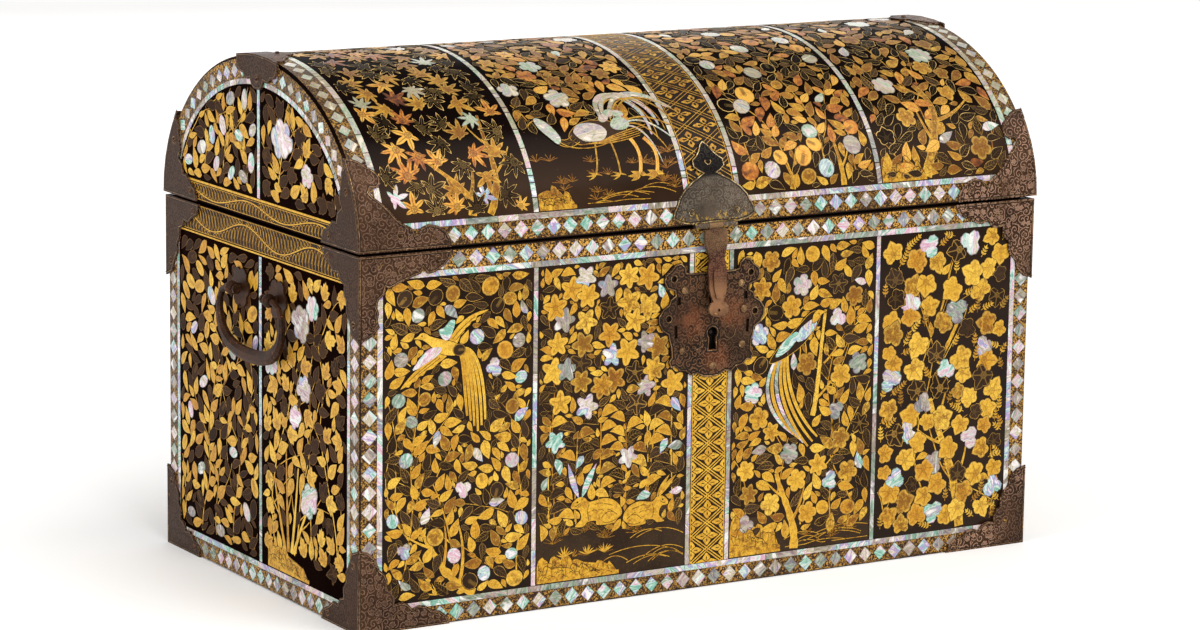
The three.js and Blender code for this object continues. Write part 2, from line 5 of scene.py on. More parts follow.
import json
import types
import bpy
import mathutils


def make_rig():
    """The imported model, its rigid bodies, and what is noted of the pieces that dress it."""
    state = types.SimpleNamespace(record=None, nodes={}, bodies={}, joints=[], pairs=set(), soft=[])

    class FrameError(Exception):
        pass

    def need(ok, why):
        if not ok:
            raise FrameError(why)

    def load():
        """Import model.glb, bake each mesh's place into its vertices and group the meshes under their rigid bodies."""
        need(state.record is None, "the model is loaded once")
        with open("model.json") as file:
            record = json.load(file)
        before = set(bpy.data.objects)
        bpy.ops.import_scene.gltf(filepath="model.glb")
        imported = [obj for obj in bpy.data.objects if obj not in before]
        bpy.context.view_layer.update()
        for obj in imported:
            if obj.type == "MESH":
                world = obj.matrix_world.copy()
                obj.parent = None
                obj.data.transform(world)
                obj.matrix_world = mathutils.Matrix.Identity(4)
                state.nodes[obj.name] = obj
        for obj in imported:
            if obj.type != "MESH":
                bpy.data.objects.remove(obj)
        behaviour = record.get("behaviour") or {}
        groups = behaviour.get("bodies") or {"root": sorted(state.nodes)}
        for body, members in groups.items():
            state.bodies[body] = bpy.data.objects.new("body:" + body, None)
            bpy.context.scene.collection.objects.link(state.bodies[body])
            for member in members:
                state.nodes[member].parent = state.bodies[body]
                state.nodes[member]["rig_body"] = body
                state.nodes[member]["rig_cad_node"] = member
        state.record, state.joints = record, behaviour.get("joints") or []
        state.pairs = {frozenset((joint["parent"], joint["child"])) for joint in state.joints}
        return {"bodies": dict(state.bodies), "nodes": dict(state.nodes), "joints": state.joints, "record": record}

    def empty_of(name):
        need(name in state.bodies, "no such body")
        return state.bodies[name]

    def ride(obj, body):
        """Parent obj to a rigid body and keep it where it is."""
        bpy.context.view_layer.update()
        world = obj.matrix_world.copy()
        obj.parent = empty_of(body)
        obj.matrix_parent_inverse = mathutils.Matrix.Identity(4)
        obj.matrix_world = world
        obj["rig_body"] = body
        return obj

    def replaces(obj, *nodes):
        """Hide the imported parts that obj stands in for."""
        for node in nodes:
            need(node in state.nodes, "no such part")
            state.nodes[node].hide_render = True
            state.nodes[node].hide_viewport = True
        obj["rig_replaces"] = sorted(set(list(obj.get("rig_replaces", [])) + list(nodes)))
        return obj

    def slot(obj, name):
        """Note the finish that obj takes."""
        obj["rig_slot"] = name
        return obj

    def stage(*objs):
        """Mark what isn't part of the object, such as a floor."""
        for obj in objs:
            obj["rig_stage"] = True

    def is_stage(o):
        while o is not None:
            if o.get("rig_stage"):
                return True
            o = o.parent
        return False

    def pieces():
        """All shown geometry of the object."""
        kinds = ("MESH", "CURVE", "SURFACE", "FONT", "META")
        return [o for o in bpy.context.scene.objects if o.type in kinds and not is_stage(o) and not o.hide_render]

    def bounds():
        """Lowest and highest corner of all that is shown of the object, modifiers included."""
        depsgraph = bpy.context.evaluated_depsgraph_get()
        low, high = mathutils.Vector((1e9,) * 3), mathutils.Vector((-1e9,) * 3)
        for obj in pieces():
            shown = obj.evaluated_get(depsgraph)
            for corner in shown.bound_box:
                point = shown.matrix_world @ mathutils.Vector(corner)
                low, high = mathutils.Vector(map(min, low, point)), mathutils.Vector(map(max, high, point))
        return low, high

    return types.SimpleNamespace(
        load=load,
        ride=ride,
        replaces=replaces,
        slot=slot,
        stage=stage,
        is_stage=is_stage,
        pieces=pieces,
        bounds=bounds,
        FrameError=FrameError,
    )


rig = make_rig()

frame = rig.load()

import json
import math

import bpy
import numpy as np
from mathutils import Matrix, Vector

scene = bpy.context.scene
cad_box = [list(map(float, c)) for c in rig.bounds()]
PI = math.pi

# ------------------------------------------------------------------ dimensions (as the CAD)
W, D, HB = 480.0, 256.0, 224.0
HW, HD = W / 2, D / 2
TB, GAP, LIP = 10.0, 2.0, 5.0
A, B = 129.0, 99.0
ZL = HB + GAP
XL = HW + 1.0
TS = 8.0
CLR, T = 0.3, 1.2


# ------------------------------------------------------------------ camera, light, floor
def make_camera():
    yaw, pitch, roll = (math.radians(a) for a in (31.3496, 10.7149, 0.792))
    fwd = Vector((math.sin(yaw) * math.cos(pitch), math.cos(yaw) * math.cos(pitch), -math.sin(pitch)))
    right = Vector((math.cos(yaw), -math.sin(yaw), 0))
    up = right.cross(fwd)
    r2 = right * math.cos(roll) + up * math.sin(roll)
    u2 = -right * math.sin(roll) + up * math.cos(roll)
    cam = bpy.data.cameras.new("camera")
    cam.sensor_fit = "HORIZONTAL"
    cam.sensor_width = 36.0
    cam.lens = 4049.44 / 1200 * 36.0
    cam.clip_start, cam.clip_end = 0.05, 60
    ob = bpy.data.objects.new("camera", cam)
    scene.collection.objects.link(ob)
    m = Matrix((r2, u2, -fwd)).transposed().to_4x4()
    m.translation = Vector((-1.31144, -2.15165, 0.62464))
    ob.matrix_world = m
    scene.camera = ob


def area(name, at, look, size, power, colour=(1, 1, 1), size_y=None):
    li = bpy.data.lights.new(name, "AREA")
    li.energy, li.color = power, colour
    li.shape = "RECTANGLE"
    li.size, li.size_y = size, size_y or size
    ob = bpy.data.objects.new(name, li)
    scene.collection.objects.link(ob)
    ob.location = at
    ob.rotation_euler = (Vector(look) - Vector(at)).to_track_quat("-Z", "Y").to_euler()
    return ob


make_camera()
scene.view_settings.view_transform = "Standard"
scene.view_settings.look = "None"
scene.view_settings.exposure = 0.0
scene.view_settings.gamma = 1.0

world = bpy.data.worlds.new("studio")
scene.world = world
world.use_nodes = True
world.node_tree.nodes["Background"].inputs[0].default_value = (1.0, 1.0, 1.0, 1)
world.node_tree.nodes["Background"].inputs[1].default_value = 0.55
sun = bpy.data.lights.new("sun", "SUN")
sun.energy, sun.angle, sun.color = 1.7, math.radians(50), (1.0, 0.985, 0.96)
sun_ob = bpy.data.objects.new("sun", sun)
scene.collection.objects.link(sun_ob)
sun_ob.rotation_euler = Vector((-0.30, 0.62, -0.85)).to_track_quat("-Z", "Y").to_euler()
area("key", (-0.9, -2.4, 1.7), (0, 0, 0.15), 1.5, 21, (1.0, 0.98, 0.945))
area("left", (-2.5, -0.5, 1.0), (-0.2, 0, 0.15), 1.2, 25, (1.0, 0.985, 0.965))
area("back_top", (0.7, 2.5, 1.25), (0, 0.0, 0.3), 3.2, 17, (1, 1, 1), 1.5)


# ------------------------------------------------------------------ node helper
class Mat:
    """A small builder for procedural materials."""

    def __init__(self, name):
        self.m = bpy.data.materials.new(name)
        self.m.use_nodes = True
        self.t = self.m.node_tree
        self.t.nodes.clear()
        self.out = self.t.nodes.new("ShaderNodeOutputMaterial")
        self.b = self.t.nodes.new("ShaderNodeBsdfPrincipled")
        self.t.links.new(self.b.outputs[0], self.out.inputs["Surface"])
        self.tc = self.t.nodes.new("ShaderNodeTexCoord")
        self.obj = self.tc.outputs["Object"]

    def node(self, kind, **props):
        n = self.t.nodes.new(kind)
        for k, v in props.items():
            setattr(n, k, v)
        return n

    def put(self, sock, v):
        if v is None:
            return
        if isinstance(v, bpy.types.NodeSocket):
            self.t.links.new(v, sock)
        elif isinstance(v, (tuple, list)):
            v = tuple(v)
            if len(sock.default_value) == 4 and len(v) == 3:
                v = v + (1.0,)
            sock.default_value = v
        else:
            try:
                sock.default_value = v
            except (TypeError, ValueError):
                sock.default_value = (v,) * len(sock.default_value)

    def f(self, op, a, b=None, c=None, clamp=False):
        n = self.node("ShaderNodeMath", operation=op, use_clamp=clamp)
        for i, v in enumerate((a, b, c)):
            self.put(n.inputs[i], v)
        return n.outputs[0]

    def v(self, op, a, b=None, scale=None):
        n = self.node("ShaderNodeVectorMath", operation=op)
        self.put(n.inputs[0], a)
        self.put(n.inputs[1], b)
        if scale is not None:
            self.put(n.inputs["Scale"], scale)
        return n.outputs["Value"] if op in ("LENGTH", "DISTANCE", "DOT_PRODUCT") else n.outputs[0]

    def smooth(self, x, lo, hi, a=0.0, b=1.0):
        n = self.node("ShaderNodeMapRange", interpolation_type="SMOOTHSTEP")
        for i, v in enumerate((x, lo, hi, a, b)):
            self.put(n.inputs[i], v)
        return n.outputs[0]

    def ramp(self, x, *stops, mode="LINEAR"):
        n = self.node("ShaderNodeValToRGB")
        r = n.color_ramp
        r.interpolation = mode
        while len(r.elements) < len(stops):
            r.elements.new(0.5)
        for e, (p, c) in zip(r.elements, stops):
            e.position = p
            e.color = tuple(c) + (1.0,) if len(c) == 3 else c
        self.put(n.inputs[0], x)
        return n.outputs[0]

    def mix(self, fac, a, b, kind="MIX"):
        n = self.node("ShaderNodeMix", data_type="RGBA", blend_type=kind)
        self.put(n.inputs[0], fac)
        self.put(n.inputs[6], a)
        self.put(n.inputs[7], b)
        return n.outputs[2]

    def noise(self, scale, detail=3.0, rough=0.55, distort=0.0, at=None):
        n = self.node("ShaderNodeTexNoise")
        self.put(n.inputs["Vector"], at or self.obj)
        self.put(n.inputs["Scale"], scale)
        self.put(n.inputs["Detail"], detail)
        self.put(n.inputs["Roughness"], rough)
        self.put(n.inputs["Distortion"], distort)
        return n.outputs["Fac"]

    def noise_rgb(self, scale, detail=2.0, at=None):
        n = self.node("ShaderNodeTexNoise")
        self.put(n.inputs["Vector"], at or self.obj)
        self.put(n.inputs["Scale"], scale)
        self.put(n.inputs["Detail"], detail)
        return n.outputs["Color"]

    def voronoi(self, scale, feature="F1", at=None, rand=1.0, dims="3D"):
        n = self.node("ShaderNodeTexVoronoi", feature=feature, voronoi_dimensions=dims)
        self.put(n.inputs["Vector"], at or self.obj)
        self.put(n.inputs["Scale"], scale)
        self.put(n.inputs["Randomness"], rand)
        return n

    def attr(self, name):
        n = self.node("ShaderNodeAttribute", attribute_name=name)
        return n

    def xyz(self, v):
        n = self.node("ShaderNodeSeparateXYZ")
        self.put(n.inputs[0], v)
        return n.outputs

    def bump(self, height, strength=0.3, dist=0.0003):
        n = self.node("ShaderNodeBump")
        self.put(n.inputs["Height"], height)
        n.inputs["Strength"].default_value = strength
        n.inputs["Distance"].default_value = dist
        self.t.links.new(n.outputs[0], self.b.inputs["Normal"])
        return n.outputs[0]

    def set(self, **kw):
        names = {"base": "Base Color", "rough": "Roughness", "metal": "Metallic", "coat": "Coat Weight",
                 "coat_rough": "Coat Roughness", "spec": "Specular IOR Level", "sheen": "Sheen Weight",
                 "ior": "IOR"}
        for k, v in kw.items():
            self.put(self.b.inputs[names[k]], v)
        return self


def hexc(s):
    """sRGB hex to linear."""
    c = [int(s[i:i + 2], 16) / 255 for i in (0, 2, 4)]
    return tuple(x / 12.92 if x <= 0.04045 else ((x + 0.055) / 1.055) ** 2.4 for x in c)


# ------------------------------------------------------------------ materials
def vein_masks(m):
    """(vein lines, outline) of a motif, from the attributes q (place in the motif) and e (edge)."""
    s, t, n = m.xyz(m.attr("q").outputs["Vector"])[:3]
    e = m.attr("e").outputs["Fac"]
    at = m.f("ABSOLUTE", t)
    mid = m.smooth(at, 0.09, 0.03)
    row = m.f("FRACT", m.f("MULTIPLY", m.f("SUBTRACT", s, m.f("MULTIPLY", at, 0.2)), 6.0))
    side = m.smooth(m.f("ABSOLUTE", m.f("SUBTRACT", row, 0.5)), 0.12, 0.05)
    side = m.f("MULTIPLY", side, m.smooth(at, 0.92, 0.7))
    leaf = m.f("MAXIMUM", mid, m.f("MULTIPLY", side, 0.75))
    r = m.v("LENGTH", m.node_vec(s, t))
    ang = m.f("MULTIPLY", m.f("ARCTAN2", t, s), m.f("DIVIDE", n, 2 * PI))
    lobe = m.f("PINGPONG", ang, 0.5)            # 0 on the axis of a lobe
    ray = m.f("MULTIPLY", lobe, r)
    fan = m.smooth(ray, 0.045, 0.016)
    fan = m.f("MULTIPLY", fan, m.smooth(r, 0.92, 0.72))
    core = m.smooth(m.f("ABSOLUTE", m.f("SUBTRACT", r, 0.17)), 0.05, 0.02)
    fan = m.f("MAXIMUM", fan, core)
    pick = m.f("GREATER_THAN", n, 0.5)
    none = m.f("LESS_THAN", n, -0.5)
    veins = m.f("ADD", m.f("MULTIPLY", leaf, m.f("SUBTRACT", 1.0, pick)), m.f("MULTIPLY", fan, pick))
    veins = m.f("MULTIPLY", veins, m.f("SUBTRACT", 1.0, none))
    rim = m.f("MULTIPLY", m.smooth(e, 0.925, 0.975), m.f("SUBTRACT", 1.0, none))
    return veins, rim


def node_vec(self, x, y, z=0.0):
    n = self.node("ShaderNodeCombineXYZ")
    for i, v in enumerate((x, y, z)):
        self.put(n.inputs[i], v)
    return n.outputs[0]


Mat.node_vec = node_vec


def mat_gold(name="gold_maki_e", low=0.0):
    m = Mat(name)
    veins, rim = vein_masks(m)
    e = m.attr("e").outputs["Fac"]
    tint = m.xyz(m.attr("tint").outputs["Vector"])
    base = m.ramp(tint[0], (0.0, hexc("c48a26")), (0.35, hexc("d3a02e")), (0.75, hexc("e0b039")), (1.0, hexc("ecc249")))
    # patches where the powder has thinned to a warmer, darker tone
    worn = m.noise(150, 6, 0.72, 0.5)
    base = m.mix(m.smooth(worn, 0.42, 0.66, 0, 0.55), base, hexc("a86f20"))
    # painted shade: gold on upward-facing surfaces is darkened, standing in for a metal that reflects a dark surround
    up = m.smooth(m.xyz(m.tc.outputs["Normal"])[2], 0.15, 0.45)
    base = m.mix(m.f("MULTIPLY", up, m.smooth(worn, 0.34, 0.60, 0.22, 0.72)), base, hexc("8a5a26"))
    # dark worn spots follow the wear tint; upward-facing gold gets more of them, which is painted shade too
    thr = m.f("SUBTRACT", 0.84, m.f("ADD", m.f("MULTIPLY", tint[1], 0.40), m.f("MULTIPLY", up, 0.12)))
    w = m.smooth(m.noise(260, 6, 0.75, 0.6), m.f("SUBTRACT", thr, 0.16), m.f("ADD", thr, 0.02))
    base = m.mix(m.f("MULTIPLY", w, 0.75), base, hexc("5e2d10"))
    fine = m.noise(1300, 3, 0.65)
    base = m.mix(m.smooth(fine, 0.50, 0.70, 0, 0.50), base, hexc("8a5518"))
    # mottling about a millimetre across
    mott = m.noise(560, 4, 0.7, 0.3)
    base = m.mix(m.smooth(mott, 0.50, 0.64, 0, 0.38), base, hexc("7c4c12"))
    base = m.mix(m.smooth(mott, 0.46, 0.34, 0, 0.35), base, hexc("f0c64e"))
    base = m.mix(m.f("MULTIPLY", m.f("MULTIPLY", veins, m.f("ADD", m.f("MULTIPLY", tint[2], 0.5), 0.22)), 0.8), base, hexc("6d3f14"))
    base = m.mix(m.f("MULTIPLY", m.smooth(e, 0.70, 0.84), 0.22), base, hexc("f0c95f"))
    base = m.mix(m.f("MULTIPLY", rim, 0.85), base, hexc("2e180b"))
    m.set(base=base, metal=0.25, rough=m.f("ADD", m.f("MULTIPLY", fine, 0.2), 0.34), spec=0.15, coat=0.05, coat_rough=0.18)
    h = m.f("SUBTRACT", m.f("MULTIPLY", fine, 0.6), m.f("MULTIPLY", m.f("MAXIMUM", veins, rim), 0.5))
    m.bump(h, 0.35, 0.0002)
    return m.m


def mat_orange():
    m = Mat("gold_worn_orange")
    veins, rim = vein_masks(m)
    tint = m.xyz(m.attr("tint").outputs["Vector"])
    worn = m.noise(170, 6, 0.72, 0.8)
    base = m.ramp(m.f("ADD", worn, m.f("MULTIPLY", m.f("SUBTRACT", tint[0], 0.5), 0.40)),
                  (0.26, hexc("56290f")), (0.38, hexc("9a561a")), (0.50, hexc("c07c28")), (0.66, hexc("d8a440")))
    base = m.mix(m.f("MULTIPLY", veins, 0.6), base, hexc("3a1c0c"))
    base = m.mix(m.f("MULTIPLY", rim, 0.7), base, hexc("2c150a"))
    fine = m.noise(1500, 3, 0.6)
    m.set(base=base, metal=0.22, rough=m.f("ADD", m.f("MULTIPLY", fine, 0.2), 0.36), spec=0.25, coat=0.1, coat_rough=0.18)
    m.bump(m.f("SUBTRACT", fine, m.f("MULTIPLY", rim, 0.5)), 0.3, 0.0002)
    return m.m


def mat_dark_leaf(name="dark_leaf", tones=("271b12", "32241a", "3e2e22"), line="c79a48", strength=1.0, vein=0.8, fan=0.040, top=None):
    m = Mat(name)
    veins, rim = vein_masks(m)
    e = m.attr("e").outputs["Fac"]
    n = m.xyz(m.attr("q").outputs["Vector"])[2]
    tint = m.xyz(m.attr("tint").outputs["Vector"])
    base = m.ramp(tint[0], (0.0, hexc(tones[0])), (0.5, hexc(tones[1])), (1.0, hexc(tones[2])))
    base = m.mix(m.smooth(m.noise(420, 5, 0.7), 0.42, 0.72, 0, 0.40), base, hexc("1c120b"))
    # painted reflection: with top given, the leaves darken to it towards the crown; their browner tone lower down
    # stands for the sheen of the lower vault
    if top:
        base = m.mix(m.smooth(m.xyz(m.obj)[2], 0.255, 0.293), base, hexc(top))
    broken = m.smooth(m.noise(340, 3, 0.6), 0.30, 0.44)
    # thin gold contour just inside the edge
    wide = m.f("SUBTRACT", 0.075, m.f("MULTIPLY", m.f("GREATER_THAN", n, 0.5), fan))
    edge = m.f("MULTIPLY", m.smooth(m.f("ABSOLUTE", m.f("SUBTRACT", e, 0.91)), wide, m.f("MULTIPLY", wide, 0.4)), m.f("GREATER_THAN", n, -0.5))
    lines = m.f("MULTIPLY", m.f("MAXIMUM", m.f("MULTIPLY", veins, m.f("MULTIPLY", tint[2], vein)), edge), broken)
    lines = m.f("MULTIPLY", lines, m.f("MULTIPLY", m.f("ADD", m.f("MULTIPLY", tint[1], 0.45), 0.50), strength))
    base = m.mix(lines, base, hexc(line))
    m.set(base=base, metal=0.0, rough=0.40, spec=0.02, coat=0.02, coat_rough=0.2)
    m.bump(lines, 0.25, 0.00015)
    return m.m


def mat_pearl():
    m = Mat("mother_of_pearl")
    tint = m.xyz(m.attr("tint").outputs["Vector"])
    # broad bands follow the shell's growth lines, each piece cut at its own angle
    rot = m.node("ShaderNodeVectorRotate", rotation_type="Z_AXIS")
    uv = m.node("ShaderNodeUVMap", uv_map="flat")
    m.put(rot.inputs["Vector"], uv.outputs[0])
    m.put(rot.inputs["Angle"], m.f("MULTIPLY", tint[1], 6.283))
    st = m.v("MULTIPLY", rot.outputs[0], (1.0, 0.34, 1.0))
    st = m.v("ADD", st, m.v("SCALE", m.node_vec(tint[0], tint[1], tint[2]), None, 37.0))
    n1 = m.noise(0.13, 3, 0.5, 1.1, at=st)
    n2 = m.noise(0.46, 4, 0.6, 1.0, at=st)
    hue = m.f("FRACT", m.f("ADD", m.f("ADD", tint[0], m.f("MULTIPLY", n1, 2.0)), m.f("MULTIPLY", n2, 0.35)))
    pastel = m.ramp(hue, (0.0, hexc("d3c8c2")), (0.09, hexc("c48fa8")), (0.18, hexc("ddd0d4")), (0.30, hexc("93c4b2")), (0.39, hexc("5f9a88")),
                    (0.50, hexc("cbd8cc")), (0.60, hexc("84a6b8")), (0.70, hexc("a888b8")), (0.80, hexc("dcd0cc")), (0.91, hexc("a89f7c")), (1.0, hexc("d3c8c2")))
    dull = m.ramp(n2, (0.30, hexc("33281e")), (0.44, hexc("5d513d")), (0.54, hexc("7f765d")), (0.66, hexc("a39d84")))
    dull = m.mix(0.25, dull, pastel)
    base = m.mix(m.smooth(m.f("ADD", tint[2], m.f("MULTIPLY", m.f("SUBTRACT", n1, 0.5), 1.1)), 0.40, 0.74, 0.0, 0.92), pastel, dull)
    # shell on upward-facing surfaces is mixed towards cream
    up = m.smooth(m.xyz(m.tc.outputs["Normal"])[2], 0.35, 0.75)
    base = m.mix(m.f("MULTIPLY", up, 0.55), base, hexc("a3966f"))
    # bright flashes and dark growth lines
    base = m.mix(m.smooth(n1, 0.58, 0.68, 0, 0.72), base, m.mix(up, hexc("f4f0ec"), hexc("e6dcc2")))
    lines = m.noise(0.95, 5, 0.7, 1.6, at=st)
    base = m.mix(m.smooth(lines, 0.54, 0.66, 0, 0.62), base, hexc("4c4233"))
    base = m.mix(m.smooth(n2, 0.41, 0.31, 0, 0.45), base, hexc("31584f"))
    e = m.attr("e").outputs["Fac"]
    base = m.mix(m.smooth(e, 0.90, 0.98, 0, 0.7), base, hexc("33261b"))
    m.set(base=base, metal=0.0, rough=m.f("ADD", m.f("MULTIPLY", n2, 0.22), 0.14), coat=0.22, coat_rough=0.1, spec=0.35)
    m.bump(m.f("ADD", n2, m.f("MULTIPLY", lines, 0.5)), 0.3, 0.00025)
    return m.m


def mat_haze():
    m = Mat("brown_haze")
    cloud = m.noise(22, 5, 0.6, 0.3)
    base = m.mix(m.smooth(cloud, 0.36, 0.64), hexc("2a1e15"), hexc("3a2c20"))
    fine = m.noise(900, 4, 0.65)
    base = m.mix(m.smooth(fine, 0.52, 0.72, 0, 0.35), base, hexc("5f4829"))
    m.set(base=base, rough=0.42, spec=0.06)
    m.bump(fine, 0.2, 0.0001)
    return m.m


def mat_nashiji():
    m = Mat("nashiji_ground")
    tint = m.xyz(m.attr("tint").outputs["Vector"])
    vo = m.voronoi(1250, "F1")
    spark = m.xyz(vo.outputs["Color"])[0]
    flake = m.smooth(spark, 0.35, 0.8)
    cloud = m.noise(30, 5, 0.65)
    amount = m.f("MULTIPLY", flake, m.smooth(m.f("ADD", cloud, m.f("MULTIPLY", tint[0], 0.6)), 0.45, 1.0, 0.12, 1.0))
    base = m.mix(amount, hexc("2e1c11"), m.ramp(spark, (0.3, hexc("8f6228")), (0.9, hexc("cf9c44"))))
    base = m.mix(m.smooth(m.noise(70, 6, 0.7), 0.52, 0.72, 0, 0.55), base, hexc("24150d"))
    m.set(base=base, metal=0.1, rough=0.42, spec=0.2)
    m.bump(spark, 0.25, 0.00012)
    return m.m


def mat_lacquer(name, lo, hi, speck=0.0, coat=0.1, spec=0.08, top=None):
    m = Mat(name)
    cloud = m.noise(14, 4, 0.55)
    base = m.mix(m.smooth(cloud, 0.35, 0.68), lo, hi)
    if top:
        # painted reflection: browner low down, where the vault faces the front and catches a sheen, black over the
        # crown
        z = m.f("ADD", m.xyz(m.obj)[2], m.f("MULTIPLY", cloud, 0.03))
        up = m.smooth(z, 0.270, 0.308)
        base = m.mix(up, base, m.mix(m.smooth(cloud, 0.35, 0.68), top[0], top[1]))
    fine = m.noise(700, 4, 0.65)
    base = m.mix(m.smooth(fine, 0.55, 0.75, 0, 0.16), base, hexc("2f1d12"))
    vo = m.voronoi(900, "F1")
    dot = m.smooth(vo.outputs["Distance"], 0.20, 0.10)
    keep = m.smooth(m.xyz(vo.outputs["Color"])[1], 1.0 - speck, 1.0 - speck * 0.6) if speck else 0.0
    spots = m.f("MULTIPLY", dot, keep) if speck else 0.0
    if speck:
        base = m.mix(m.f("MULTIPLY", spots, 0.8), base, hexc("a87a34"))
    wear = m.smooth(m.noise(38, 7, 0.72, 0.4), 0.60, 0.74)
    m.set(base=base, metal=0.0, rough=m.f("ADD", m.f("MULTIPLY", wear, 0.16), 0.28), coat=coat, coat_rough=0.16, spec=spec)
    m.bump(m.f("ADD", m.f("MULTIPLY", cloud, 1.0), m.f("MULTIPLY", fine, 0.12)), 0.18, 0.0006)
    return m.m


def engraved(m, scale, depth=1.0):
    """Scrolling vine: little spirals with leaves, one in each cell. Returns (line, leaf)."""
    nrm = m.v("ABSOLUTE", m.tc.outputs["Normal"])
    nx, ny, nz = m.xyz(nrm)[:3]
    x, y, z = m.xyz(m.obj)[:3]
    isx = m.f("GREATER_THAN", nx, m.f("MAXIMUM", ny, nz))
    u = m.f("ADD", m.f("MULTIPLY", isx, y), m.f("MULTIPLY", m.f("SUBTRACT", 1.0, isx), x))
    isz = m.f("GREATER_THAN", nz, m.f("MULTIPLY", m.f("MAXIMUM", nx, ny), 1.6))
    vv = m.f("ADD", m.f("MULTIPLY", isz, y), m.f("MULTIPLY", m.f("SUBTRACT", 1.0, isz), z))
    at = m.node_vec(u, vv, 0.0)
    at = m.v("ADD", at, m.v("SCALE", m.v("SUBTRACT", m.noise_rgb(90, 2, at=at), (0.5, 0.5, 0.5)), None, 0.0022))
    at = m.v("ADD", at, m.v("SCALE", m.v("SUBTRACT", m.noise_rgb(420, 2, at=at), (0.5, 0.5, 0.5)), None, 0.0013))
    vo = m.voronoi(scale, "F1", at=at, rand=0.8, dims="2D")
    local = m.v("SUBTRACT", m.v("SCALE", at, None, scale), m.v("SCALE", vo.outputs["Position"], None, scale)) \
        if False else m.v("SUBTRACT", at, vo.outputs["Position"])
    lx, ly, _ = m.xyz(local)[:3]
    r = m.v("LENGTH", local)
    th = m.f("ARCTAN2", ly, lx)
    seed = m.xyz(vo.outputs["Color"])[0]
    turn = m.f("SUBTRACT", m.f("MULTIPLY", m.f("GREATER_THAN", seed, 0.5), 2.0), 1.0)
    ph = m.f("ADD", m.f("MULTIPLY", m.f("MULTIPLY", r, scale), 15.0), m.f("MULTIPLY", m.f("ADD", th, m.f("MULTIPLY", seed, 6.0)), turn))
    spiral = m.smooth(m.f("SINE", ph), 0.52, 0.88)
    petal = m.f("SINE", m.f("ADD", m.f("MULTIPLY", th, 5.0), m.f("MULTIPLY", seed, 9.0)))
    rr = m.f("MULTIPLY", r, scale)
    flower = m.smooth(m.f("SUBTRACT", m.f("ADD", 0.30, m.f("MULTIPLY", petal, 0.07)), rr), -0.02, 0.03)
    ring = m.smooth(m.f("ABSOLUTE", m.f("SUBTRACT", rr, m.f("ADD", 0.28, m.f("MULTIPLY", petal, 0.07)))), 0.05, 0.02)
    isf = m.f("GREATER_THAN", m.xyz(vo.outputs["Color"])[1], 0.55)
    line = m.f("ADD", m.f("MULTIPLY", isf, m.f("MAXIMUM", ring, m.f("MULTIPLY", spiral, m.f("GREATER_THAN", rr, 0.38)))),
               m.f("MULTIPLY", m.f("SUBTRACT", 1.0, isf), spiral))
    return m.f("MULTIPLY", line, depth), m.f("MULTIPLY", flower, isf), at


